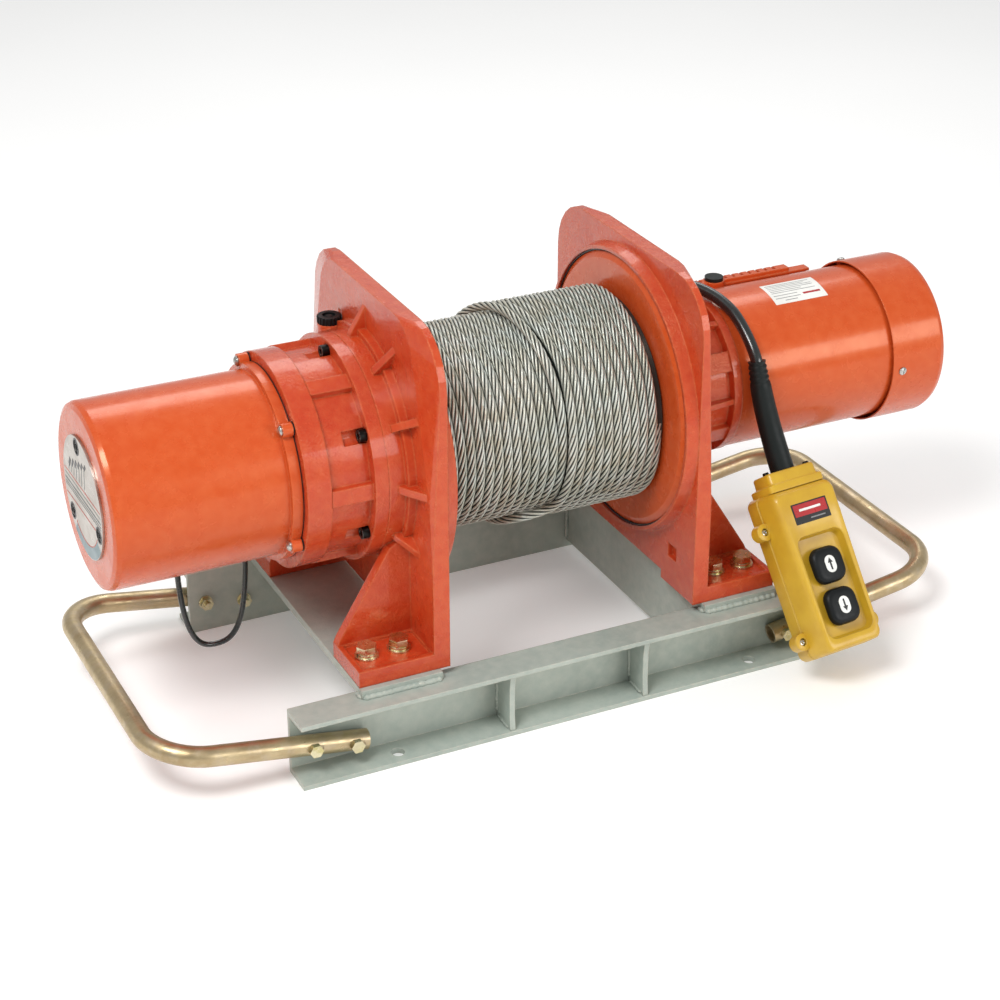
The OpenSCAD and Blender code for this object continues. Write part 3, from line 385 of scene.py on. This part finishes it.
# In millimetres; LOW_R and TOP_R are the two layers' distances from the drum axis, and LAY is the
# length in which a strand turns once round the rope.
ROPE_R = 5.0
LAY = 70.0
LOW_R, TOP_R = 105.0, 113.7
PITCH = 10.4
STRANDS = 6
PER_STRAND = 5
STEP = 3.4


def smoothstep(a, b, x):
    """0 at a, 1 at b, and an even slope between."""
    t = min(1.0, max(0.0, (x - a) / (b - a)))
    return t * t * (3 - 2 * t)


def evenly(points, step):
    """Points at equal distances along a polyline."""
    out, at = [points[0]], step
    for a, b in zip(points, points[1:]):
        length = (b - a).length
        while at <= length:
            out.append(a.lerp(b, at / length))
            at += step
        at -= length
    return out


def rope(name, winding):
    """Six-strand rope through (x, radius, angle) places, in millimetres and degrees."""
    path = evenly([V(x, r * math.cos(math.radians(a)), AXIS_Z / MM + r * math.sin(math.radians(a)))
                   for x, r, a in winding], STEP * MM)
    section = []
    for k in range(STRANDS * PER_STRAND):
        off = (k % PER_STRAND) / PER_STRAND * 2 - 1
        phi = math.radians(30 * off)
        r = 2 / 3 * math.cos(phi) + math.sqrt(max(0.0, 1 / 9 - 4 / 9 * math.sin(phi) ** 2))
        section.append((2 * math.pi * k / STRANDS / PER_STRAND, ROPE_R * max(r, 0.64), 1 - abs(off)))
    verts, uv = [], []
    for i, p in enumerate(path):
        d = (path[min(i + 1, len(path) - 1)] - path[max(i - 1, 0)]).normalized()
        out = (p - Vector((p.x, 0, AXIS_Z))).normalized()
        u = (out - d * out.dot(d)).normalized()
        v = d.cross(u)
        twist = 2 * math.pi * i * STEP / LAY
        for a, r, crown in section:
            verts.append(p + r * MM * (math.cos(a + twist) * u + math.sin(a + twist) * v))
            uv.append((i * STEP * 0.55, crown))
    n = len(section)
    loops = [verts[i:i + n] for i in range(0, len(verts), n)]
    return piece(name, *loft(loops), "rope_steel", "drum", uv=uv, angle=75)


def wobble(t, seed):
    """Slight unevenness of the winding, in millimetres."""
    return 0.4 * noise.noise(Vector((t * 1.7, seed, 0.3)))


DRUM_LO, DRUM_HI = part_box("wire_rope")
LEFT_X, RIGHT_X = DRUM_LO.x / MM, DRUM_HI.x / MM
LAST_X, LAST_ANGLE = 20.6, 205.0
TOP_TURNS = (RIGHT_X - ROPE_R + 0.4 - LAST_X) / PITCH


def low_layer(t):
    """Place (x, radius, angle) after t turns from the left flange."""
    return LEFT_X + ROPE_R + 0.3 + PITCH * t + wobble(t, 1.0), LOW_R, 90 + 360 * t


def top_layer(t):
    """Wound from the right flange, where it climbs, leaning left over the top towards its end."""
    a = LAST_ANGLE - 360 * (TOP_TURNS - t)
    swing = max(0.0, math.cos(math.radians(a - 50))) ** 1.5
    x = LAST_X + PITCH * (TOP_TURNS - t) + wobble(t, 2.0) * (1 - t / TOP_TURNS)
    return (x - 19 * (t / TOP_TURNS) ** 1.6 * swing, LOW_R + (TOP_R - LOW_R) * smoothstep(0, 0.12, t), a)


# The loose last wrap: angle, place along the drum, and height from the lower layer (0) to the top (1).
LAST_WRAP = [(LAST_ANGLE, LAST_X, 1), (218, 20, 1), (226, 16, 1.04), (230.5, 8, 1.1), (233, -3, 1.16),
             (236, -15, 1.12), (243, -26, 1.02), (265, -34, 1), (300, -36, 1), (340, -33, 1),
             (380, -27, 1), (410, -17, 1.05), (432, -8, 1.15), (450, -1.5, 1.1), (470, 3.5, 1.05),
             (490, 7.5, 1), (505, 9.6, 0.95), (518, 11.2, 0.7), (532, 12.4, 0.3), (546, 13.2, 0.1),
             (562, 13.6, 0), (600, 14.5, 0), (660, 16, 0), (740, 18.5, 0)]


def last_wrap():
    """Smooth places through the points of the loose wrap."""
    out = []
    for i in range(len(LAST_WRAP) - 1):
        a, b, c, d = (LAST_WRAP[max(0, min(len(LAST_WRAP) - 1, i + j))] for j in (-1, 0, 1, 2))
        for k in range(16):
            f = k / 16
            angle, x, h = (0.5 * (2 * q + (r - p) * f + (2 * p - 5 * q + 4 * r - s) * f * f
                                  + (3 * q - p - 3 * r + s) * f ** 3) for p, q, r, s in zip(a, b, c, d))
            out.append((x, LOW_R + (TOP_R - LOW_R) * h, angle))
    return out


TURN_POINTS = 200
LOW_TURNS = 13
low_layer_path = [low_layer(i / TURN_POINTS) for i in range(LOW_TURNS * TURN_POINTS + 1)]
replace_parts(rope("wire_rope_lower_layer", low_layer_path), "wire_rope")
rope("wire_rope_top_layer",
     [top_layer(i / TURN_POINTS) for i in range(int(TOP_TURNS * TURN_POINTS))] + last_wrap())


def turned(profile, sides=96):
    """Loops about the drum axis from (x, radius) pairs in millimetres."""
    return loft([[V(x, r * math.cos(a), AXIS_Z / MM + r * math.sin(a))
                  for a in (2 * math.pi * k / sides for k in range(sides))] for x, r in profile])


# A black ring in the narrow space between each drum flange and its support stands in for the shadow there, a
# painted shadow: a ring with a square section.
GAP_RING = ((134, 152.4), (134, 153.9), (147.6, 153.9), (147.6, 152.4))
GAP_SIDES = 96
SIDES = ((-1, "left"), (1, "right"))
for side, end in SIDES:
    verts, faces = turned([(side * x, r) for x, r in GAP_RING], GAP_SIDES)
    last = (len(GAP_RING) - 1) * GAP_SIDES
    closing = [(last + k, last + (k + 1) % GAP_SIDES, (k + 1) % GAP_SIDES, k) for k in range(GAP_SIDES)]
    piece(f"drum_gap_shadow_{end}", verts, faces[:-2] + closing, "label_black", slot="black_rubber")
piece("wire_rope_inner_layers", *turned([(LEFT_X + 0.5, 66), (LEFT_X + 0.5, 101.5), (23, 102),
                                         (26, 108.5), (RIGHT_X - 0.5, 109), (RIGHT_X - 0.5, 66)]),
      "rope_steel", "drum")

# ---------- pendant ----------

press = next(j for j in frame["joints"] if j["name"] == "up_button_press")
P_Z = -Vector(press["axis"]).normalized()
P_X = Vector((0, 0, 1)).cross(P_Z).normalized()
P_Y = P_Z.cross(P_X)


def span(node, axis):
    """Least and greatest reach of a CAD node along an axis, in metres."""
    values = [v.co.dot(axis) for v in frame["nodes"][node].data.vertices]
    return min(values), max(values)


P_AT = (P_X * sum(span("pendant_case", P_X)) / 2 + P_Y * span("pendant_case", P_Y)[0]
        + P_Z * span("pendant_case", P_Z)[0])
H = (span("pendant_case", P_Y)[1] - span("pendant_case", P_Y)[0]) / MM


def P(x, y, z):
    """A point of the pendant: x across, y up from its bottom, z from its back to its front, in mm."""
    return P_AT + (P_X * x + P_Y * y + P_Z * z) * MM


def stack(loops):
    """Loft of outlines parallel to the pendant's back: each is (outline points, z)."""
    return loft([[P(x, y, z) for x, y in pts] for pts, z in loops])


def drill(obj, *cutters):
    """Cuts holes, then removes the cutters."""
    for verts, faces in cutters:
        mesh = bpy.data.meshes.new("cutter")
        mesh.from_pydata([tuple(v) for v in verts], [], faces)
        cutter = bpy.data.objects.new("cutter", mesh)
        bpy.context.scene.collection.objects.link(cutter)
        mod = obj.modifiers.new("cut", "BOOLEAN")
        mod.object, mod.solver = cutter, "EXACT"
        apply_modifiers(obj)
        bpy.data.objects.remove(cutter)


def apply_modifiers(obj):
    """Makes the result of the modifiers the object's own mesh."""
    bpy.context.view_layer.update()
    deps = bpy.context.evaluated_depsgraph_get()
    mesh = bpy.data.meshes.new_from_object(obj.evaluated_get(deps))
    obj.modifiers.clear()
    obj.data = mesh


def disc(r, cx, cy, sides=28):
    """Outline of a circle."""
    return [(cx + r * math.cos(2 * math.pi * k / sides), cy + r * math.sin(2 * math.pi * k / sides))
            for k in range(sides)]


def waist(pts, amount):
    """Outline drawn in below the label panel."""
    return [(x * (1 - amount * smoothstep(140, 124, y)), y) for x, y in pts]


# Case and button well from the back: outline, height over the back, and how far the waist is drawn in.
WELL_Y = 71
BODY = [(rounded(79, H - 7, 7, cy=H / 2), 0, 0), (rounded(84, H - 2, 8, cy=H / 2), 1, 0),
        (rounded(86, H, 9, cy=H / 2), 3.5, 0), (rounded(86, H, 9, cy=H / 2), 20.6, 0),
        (rounded(84.2, H - 1.8, 8.4, cy=H / 2), 21.0, 0), (rounded(84.2, H - 1.8, 8.4, cy=H / 2), 22.2, 0),
        (rounded(85.4, H - 0.6, 8.8, cy=H / 2), 22.6, 0), (rounded(84.4, H - 1.2, 9, cy=H / 2), 32, 0.03),
        (rounded(82, H - 2.4, 9, cy=H / 2), 42, 0.07), (rounded(80, H - 5, 9, cy=H / 2 - 1), 48, 0.09),
        (rounded(76, H - 10, 8, cy=H / 2 - 2), 51.2, 0.09),
        (rounded(73, H - 13, 7, cy=H / 2 - 2), 52, 0.09),
        (rounded(63.5, 116.5, 12, cy=WELL_Y), 52, 0), (rounded(61.5, 114.5, 11, cy=WELL_Y), 51.2, 0),
        (rounded(59.5, 112.5, 10, cy=WELL_Y), 44, 0), (rounded(56, 109, 9, cy=WELL_Y), 41.2, 0),
        (rounded(50, 103, 7, cy=WELL_Y), 40.8, 0)]
case = piece("pendant_case_body", *stack([(waist(pts, w), z) for pts, z, w in BODY]), "pendant_yellow")
BUTTON_Y = [((span(n, P_Y)[0] + span(n, P_Y)[1]) / 2 - P_AT.dot(P_Y)) / MM
            for n in ("up_button", "down_button")]
BUTTON_GUIDE_R = 12.6
drill(case, *[stack([(disc(BUTTON_GUIDE_R, 0, y), 30), (disc(BUTTON_GUIDE_R, 0, y), 46)]) for y in BUTTON_Y])
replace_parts(case, "pendant_case")

# Four ears, each with a sunk screw.
EAR_X, EAR_SCREW_X, EAR_R = 46.5, 47, 9.5
# Height over the back, and change of radius.
EAR_STEPS = ((11.5, -1.5), (12.4, 0), (25.4, 0), (26.2, -1.2))
# Radius, and height over the back.
EAR_SCREW = ((3.6, 21.6), (3.7, 23.6), (3.1, 24.4), (1.9, 24.6), (1.7, 23.2))
for side, end in SIDES:
    for j, y in enumerate((22, 146)):
        ear = []
        for z, grow in EAR_STEPS:
            r = EAR_R + grow
            pts = [(side * (EAR_X + r * math.cos(a) * 1.05), y + r * math.sin(a))
                   for a in (2 * math.pi * k / 32 for k in range(32))]
            ear.append((pts, z))
        hole = [(disc(4.2, side * EAR_SCREW_X, y), 21.5), (disc(4.2, side * EAR_SCREW_X, y), 30)]
        drill(piece(f"pendant_ear_{end}_{j + 1}", *stack(ear), "pendant_yellow"), stack(hole))
        screw = stack([(disc(r, side * EAR_SCREW_X, y, 24), z) for r, z in EAR_SCREW])
        piece(f"pendant_screw_{end}_{j + 1}", *screw, "bright_screw")

# Cap from its foot: flange, step, top, and the socket for the cable sleeve.
CAP = [(rounded(72, 42, 5, 0, 25, 5), H - 1.6), (rounded(72, 42, 5, 0, 25, 5), H + 5.6),
       (rounded(70, 40, 5, 0, 25, 5), H + 7.0), (rounded(65, 36, 6, 0, 26, 5), H + 7.6),
       (rounded(64, 35, 6, 0, 26, 5), H + 9.0), (rounded(63.5, 34.5, 6, 0, 26, 5), H + 17.6),
       (rounded(61.5, 32.5, 5, 0, 26, 5), H + 19.4), (rounded(58, 30, 4, 0, 26, 5), H + 20.0),
       (rounded(29.2, 29.2, 14.5, 0, 26, 5), H + 20.0), (rounded(28.6, 28.6, 14.2, 0, 26, 5), H + 19.2),
       (rounded(28.6, 28.6, 14.2, 0, 26, 5), H + 8.0)]
cap = piece("pendant_cap_top", *loft([[P(x, y, z) for x, z in pts] for pts, y in CAP]), "pendant_yellow")
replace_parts(cap, "pendant_cap")
CAP_SCREW_X, CAP_SCREW_Z = 27, 33
# Radius, and height over the case.
CAP_SCREW = ((3.4, 18.5), (3.5, 21.6), (2.9, 22.6), (1.6, 22.7), (1.4, 21.4))
for side, end in SIDES:
    screw = [[P(side * CAP_SCREW_X + x, H + y, CAP_SCREW_Z + z) for x, z in disc(r, 0, 0, 20)]
             for r, y in CAP_SCREW]
    piece(f"pendant_cap_screw_{end}", *loft(screw), "black_screw")


def flat_patch(pts, z0, z1):
    """Thin plate between two heights over the back."""
    return stack([(pts, z0), (pts, z1)])


def label(name, x0, x1, y0, y1, z, look, thick=0.35):
    """One layer of the pendant label."""
    pts = rounded(x1 - x0, y1 - y0, 0.8, (x0 + x1) / 2, (y0 + y1) / 2, 3)
    return piece(name, *flat_patch(pts, z, z + thick), look, slot="pendant_label", smooth=False)


label("pendant_label_plate", -23.5, 23.5, 141.4, 164, 51.95, "label_black")
label("pendant_label_band", -21.7, 21.7, 149.4, 162.6, 52.2, "label_red", 0.22)
label("pendant_label_mark_1", -15, 14, 154.8, 157.4, 52.38, "label_white", 0.1)
label("pendant_label_mark_2", -3, 17, 144.8, 146.2, 52.25, "label_grey", 0.12)


def arrow(up):
    """Outline of an arrow, 14 mm tall."""
    s = 1 if up else -1
    pts = [(-1.1, -6.5), (1.1, -6.5), (1.1, 1.5), (3.3, 1.5), (0, 7), (-3.3, 1.5), (-1.1, 1.5)]
    return [(x, s * y) for x, y in pts]


for name, y, up in (("up_button", BUTTON_Y[0], True), ("down_button", BUTTON_Y[1], False)):
    side = [(rounded(23.4, 23.4, 11.6, 0, y), 27.5), (rounded(23.4, 23.4, 11.6, 0, y), 45.0),
            (rounded(38, 38, 12, 0, y), 45.3), (rounded(40, 40, 12.5, 0, y), 46.2),
            (rounded(39.8, 39.8, 12.5, 0, y), 47.8), (rounded(38.2, 38.2, 12, 0, y), 50.8),
            (rounded(35.6, 35.6, 11.4, 0, y), 52.8), (rounded(32, 32, 10.6, 0, y), 53.8),
            (rounded(26.5, 26.5, 9, 0, y), 54.2), (rounded(12, 12, 5, 0, y), 54.3)]
    b = piece(name + "_boot", *stack(side), "black_plastic", name)
    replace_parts(b, name)
    oval = rounded(13.4, 19, 6.6, 0, y, 8)
    piece(name + "_oval", *flat_patch(oval, 54.0, 54.5), "label_white", name, "button_mark", smooth=False)
    mark = [(x, y + dy) for x, dy in arrow(up)]
    piece(name + "_arrow", *flat_patch(mark, 54.4, 54.62), "label_black", name, "button_mark", smooth=False)

# ---------- cables ----------

SLEEVE_TOP = V(253, -93, 322)
SLEEVE_LOW = P(0, H + 12, 26)
GLAND_Y, GLAND_Z = 89.5, 315
BEND_TOP, BEND_FRONT = V(216, 28, 374), V(250, -46, 361)
CABLE_R = 6.5 * MM
# From the gland over the motor shell to the top of the sleeve.
cable_path = ([V(250, GLAND_Y, GLAND_Z)]
              + bezier(V(231, GLAND_Y, GLAND_Z), V(206, GLAND_Y, GLAND_Z), V(196, 62, 366), BEND_TOP, 20)
              + bezier(BEND_TOP, V(230, 10, 378), V(246, -14, 374), BEND_FRONT, 20, 1)
              + bezier(BEND_FRONT, V(252, -66, 351), V(252, -85, 336), SLEEVE_TOP, 16, 1))
sleeve_path = bezier(SLEEVE_TOP, SLEEVE_TOP + V(2, -11, -40), P(0, 260, 26) - V(0, 5, 0), SLEEVE_LOW, 90)
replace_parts(piece("pendant_cable_run", *sweep(cable_path + sleeve_path[1:6], CABLE_R, 24), "cable_gloss",
                  slot="black_rubber"), "pendant_cable")


def sleeve_radius(i, n):
    """Four ribs at the top of the sleeve, then a plain taper."""
    t = i / n
    if t < 0.2:
        rib = 0.5 + 0.5 * math.cos(2 * math.pi * t / 0.05)
        return (8.6 + 1.3 * rib + 6 * t) * MM
    return (10.4 + 0.5 * smoothstep(0.2, 0.24, t) + 2.6 * t) * MM


n_sleeve = len(sleeve_path) - 1
sleeve_radii = [sleeve_radius(i, n_sleeve) for i in range(n_sleeve + 1)]
piece("pendant_cable_sleeve", *sweep(sleeve_path, sleeve_radii, 28), "black_rubber", angle=80)

# The control cable hangs in a loop under the left cover.
loop_lo, loop_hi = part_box("control_cable")
r_loop = 3 * MM
x_a, x_b, z_low = loop_lo.x + r_loop, loop_hi.x - r_loop, loop_lo.z + r_loop
y_loop, z_top = (loop_lo.y + loop_hi.y) / 2, loop_hi.z
mid = Vector(((x_a + x_b) / 2, y_loop, z_low))
loop = (bezier(Vector((x_a, y_loop, z_top)), Vector((x_a, y_loop, z_low + 0.008)),
               Vector((mid.x - 0.018, y_loop, z_low)), mid, 30)
        + bezier(mid, Vector((mid.x + 0.020, y_loop, z_low)), Vector((x_b, y_loop, z_low + 0.010)),
                 Vector((x_b, y_loop, z_top)), 30, 1))
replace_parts(piece("control_cable_loop", *sweep(loop, r_loop, 16), "cable_gloss", slot="black_rubber"),
            "control_cable")

# ---------- welds ----------


def bead(path, size):
    """A weld bead: overlapping scales along a polyline of millimetre points."""
    pts = []
    for a, b in zip(path, path[1:]):
        a, b = V(*a), V(*b)
        count = max(2, int((b - a).length / (0.9 * MM)))
        pts += [a.lerp(b, i / count) for i in range(count + (b == V(*path[-1])))]
    radii = []
    for i, p in enumerate(pts):
        scale = abs(math.sin(i * 0.42 + 1.2 * noise.noise(p * 60)))
        end = min(1.0, 0.35 + 0.22 * min(i, len(pts) - 1 - i))
        radii.append(size * MM * end * (0.82 + 0.22 * scale + 0.22 * noise.noise(p * 170)))
    other = Vector((3, 0, 0))
    wander = [p + Vector((noise.noise(p * 90), noise.noise(p * 90 + other), 0)) * 0.5 * MM for p in pts]
    return sweep(wander, radii, 10)


beads = []
PAD_Z = 76
for side in (-1, 1):
    for end in (-1, 1):
        # A foot pad on its channel: the long edge, then the two short ones.
        beads.append(bead([(side * 156, end * 170.5, PAD_Z), (side * 244, end * 170.5, PAD_Z)], 3.6))
        for x in (154.5, 245.5):
            beads.append(bead([(side * x, end * 169, PAD_Z), (side * x, end * 157, PAD_Z)], 2.8))
        # A cross angle against the channel web.
        for x in (153.9, 165.1):
            beads.append(bead([(side * x, end * 151.6, 12), (side * x, end * 151.6, 71)], 2.4))
STIFFENER_X, STIFFENER_T = (-88, 70), 6
for end in (-1, 1):
    for x in STIFFENER_X:
        # Both sides of a stiffener: up the web, then out along the lower flange.
        for edge in (0, STIFFENER_T):
            beads.append(bead([(x + edge, end * 159, 11), (x + edge, end * 159, 64)], 2.2))
            beads.append(bead([(x + edge, end * 160, 8.2), (x + edge, end * 186, 6.6)], 2.0))
piece("weld_beads", *join(beads), "frame_grey", angle=60)

# ---------- motor sticker and end plate marks ----------

SHELL_R = 87.0
STICKER_X, STICKER_LENGTH = 311, 67
STICKER_ANGLE, STICKER_SPREAD = 89, 25.5


def shell_patch(x0, x1, a0, a1, r0, r1, cols=14, rows=14):
    """A curved patch on the motor shell, between two radii; angles in degrees from the back."""
    verts, faces = [], []
    for r in (r0, r1):
        base = len(verts)
        for j in range(rows + 1):
            a = math.radians(a0 + (a1 - a0) * j / rows)
            for i in range(cols + 1):
                verts.append(V(x0 + (x1 - x0) * i / cols, r * math.cos(a), AXIS_Z / MM + r * math.sin(a)))
        for j in range(rows):
            for i in range(cols):
                k = base + j * (cols + 1) + i
                faces.append((k, k + 1, k + cols + 2, k + cols + 1))
    n = (rows + 1) * (cols + 1)
    border = (list(range(cols + 1)) + [j * (cols + 1) + cols for j in range(1, rows + 1)]
              + [rows * (cols + 1) + i for i in range(cols - 1, -1, -1)]
              + [j * (cols + 1) for j in range(rows - 1, 0, -1)])
    for a, b in zip(border, border[1:] + border[:1]):
        faces.append((a, b, b + n, a + n))
    return verts, faces


def on_sticker(x0, x1, a0, a1, lift, cols, rows):
    """A patch printed on the sticker, measured from its upper left corner."""
    return shell_patch(STICKER_X + x0, STICKER_X + x1, STICKER_ANGLE + a0, STICKER_ANGLE + a1, SHELL_R,
                       SHELL_R + lift, cols, rows)


sheet = shell_patch(STICKER_X, STICKER_X + STICKER_LENGTH, STICKER_ANGLE, STICKER_ANGLE + STICKER_SPREAD,
                    SHELL_R - 0.2, SHELL_R + 0.18)
piece("motor_sticker_sheet", *sheet, "label_white", slot="motor_sticker")
piece("motor_sticker_band", *on_sticker(40, 62, 17.6, 19.6, 0.24, 6, 3), "label_red", slot="motor_sticker")
# Each printed line: start and end along the sticker, and its angle.
STICKER_LINES = ((4, 60, 2.6), (4, 52, 4.7), (4, 60, 6.8), (4, 60, 8.9), (4, 44, 11), (4, 60, 13.1),
                 (4, 34, 16.4), (4, 36, 19.4), (14, 30, 22.2))
rows = [on_sticker(x0, x1, a, a + 0.7, 0.22, 6, 2) for x0, x1, a in STICKER_LINES]
piece("motor_sticker_lines", *join(rows), "label_grey", slot="motor_sticker")

PLATE_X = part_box("end_plate")[0].x / MM
SCREW_CIRCLE, SCREW_ANGLE, SCREW_R = 53, 81, 7.4


def plate_mark(pts, thick=0.2):
    """Thin layer on the end plate from (across, up) points in mm round its centre."""
    return loft([[V(PLATE_X + dx, y, AXIS_Z / MM + z) for y, z in pts] for dx in (0.05, -thick)])


def bar(y0, z0, y1, z1, width):
    """Outline of a straight bar from one end to the other."""
    along = Vector((y1 - y0, z1 - z0)).normalized() * width / 2
    return [(y0 - along.y, z0 + along.x), (y0 + along.y, z0 - along.x), (y1 + along.y, z1 - along.x),
            (y1 - along.y, z1 + along.x)]


def arc_strip(r0, r1, a0, a1, steps=40):
    """Outline of a flat ring sector, angles in degrees."""
    turn = [math.radians(a0 + (a1 - a0) * i / steps) for i in range(steps + 1)]
    return [(r0 * math.cos(a), r0 * math.sin(a)) for a in turn] + [(r1 * math.cos(a), r1 * math.sin(a))
                                                                   for a in reversed(turn)]


def mark_piece(name, outlines, look, slot, thick=0.2):
    """Printed layer on the end plate, or a dark ring of painted shade round a screw."""
    piece(name, *join([plate_mark(pts, thick) for pts in outlines]), look, slot=slot, smooth=False)


mark_piece("end_plate_red_lines",
           [bar(60, 9.5, -60, 9.5, 0.9), bar(58, -18, -39, -18, 0.9), arc_strip(49.6, 50.5, -52, -146)],
           "plate_red", "red_sheet")
mark_piece("end_plate_grey_lines",
           [bar(60, z, -60, z, w) for z, w in ((-2, 1.6), (-6, 0.8), (-9, 0.8), (4, 0.6))]
           + [bar(44 - 9 * i, 13, 40 - 9 * i, 20 + 2.6 * i, 1.1) for i in range(7)],
           "plate_grey", "bright_screw")
mark_piece("end_plate_marks",
           [bar(41 - 11 * i, 19 + 3.6 * i, 35 - 11 * i, 28 + 3 * i, 4.6 - 0.6 * (i % 2)) for i in range(6)],
           "label_black", "black_plastic")
mark_piece("end_plate_border", [arc_strip(50.7, 63.4, -54, -144)], "plate_blue", "bright_screw", 0.12)


def screw_recess_shade(k):
    """Outline of the dark ring round one end plate screw, painted shade standing in for its sunk recess."""
    at = math.radians(SCREW_ANGLE + 120 * k)
    y, z = SCREW_CIRCLE * math.cos(at), SCREW_CIRCLE * math.sin(at)
    turn = [2 * math.pi * i / 32 for i in range(33)]
    inner, outer = ([(y + r * math.cos(t), z + r * math.sin(t)) for t in turn]
                    for r in (SCREW_R, SCREW_R + 1.8))
    return inner + outer[::-1]


# Painted shade: dark rings round the three screws stand in for the shade inside their recesses.
mark_piece("end_plate_recess_shade", [screw_recess_shade(k) for k in range(3)], "label_black", "black_plastic")

# ---------- stage, light and camera ----------

floor_mesh = bpy.data.meshes.new("floor")
FLOOR = 6.0
floor_corners = [(x * FLOOR, y * FLOOR, 0) for x, y in ((-1, -1), (1, -1), (1, 1), (-1, 1))]
floor_mesh.from_pydata(floor_corners, [], [(0, 1, 2, 3)])
floor = bpy.data.objects.new("floor", floor_mesh)
bpy.context.scene.collection.objects.link(floor)
g = Graph("floor_paper")
g.set(Base_Color=g.mix(g.noise(1.5, 2), srgb(246, 246, 245), srgb(240, 240, 239)), Roughness=0.9,
      Emission_Color=(1, 1, 1, 1), Emission_Strength=0.16)
floor_mesh.materials.append(g.mat)

world = bpy.data.worlds.new("studio")
world.use_nodes = True
world.node_tree.nodes["Background"].inputs[0].default_value = (1, 1, 1, 1)
world.node_tree.nodes["Background"].inputs[1].default_value = 0.50
bpy.context.scene.world = world


def softbox(name, at, target, size, power):
    """Rectangular soft lamp aimed at a point; metres and watts."""
    lamp = bpy.data.lights.new(name, "AREA")
    lamp.shape, lamp.size, lamp.size_y, lamp.energy = "RECTANGLE", size[0], size[1], power
    obj = bpy.data.objects.new(name, lamp)
    obj.location = at
    obj.rotation_euler = (Vector(target) - Vector(at)).to_track_quat("-Z", "Y").to_euler()
    bpy.context.scene.collection.objects.link(obj)


softbox("key", (-1.5, -1.0, 2.6), (0, 0, 0.2), (1.1, 0.9), 56)
softbox("fill", (1.6, -2.6, 1.2), (0, 0, 0.2), (1.8, 1.0), 30)
softbox("back", (0.9, 1.8, 2.4), (0, 0, 0.2), (2.0, 1.0), 22)

TARGET = Vector((-0.008, 0, 0.170))
DISTANCE = 2.528
AZ, EL = math.radians(-25.8), math.radians(27.3)
cam = bpy.data.cameras.new("camera")
cam.lens, cam.sensor_width = 83.4, 36
camera = bpy.data.objects.new("camera", cam)
back = Vector((math.sin(AZ) * math.cos(EL), -math.cos(AZ) * math.cos(EL), math.sin(EL)))
camera.location = TARGET + back * DISTANCE
camera.rotation_euler = back.to_track_quat("Z", "Y").to_euler()
bpy.context.scene.collection.objects.link(camera)
bpy.context.scene.camera = camera
bpy.context.scene.view_settings.view_transform = "Standard"
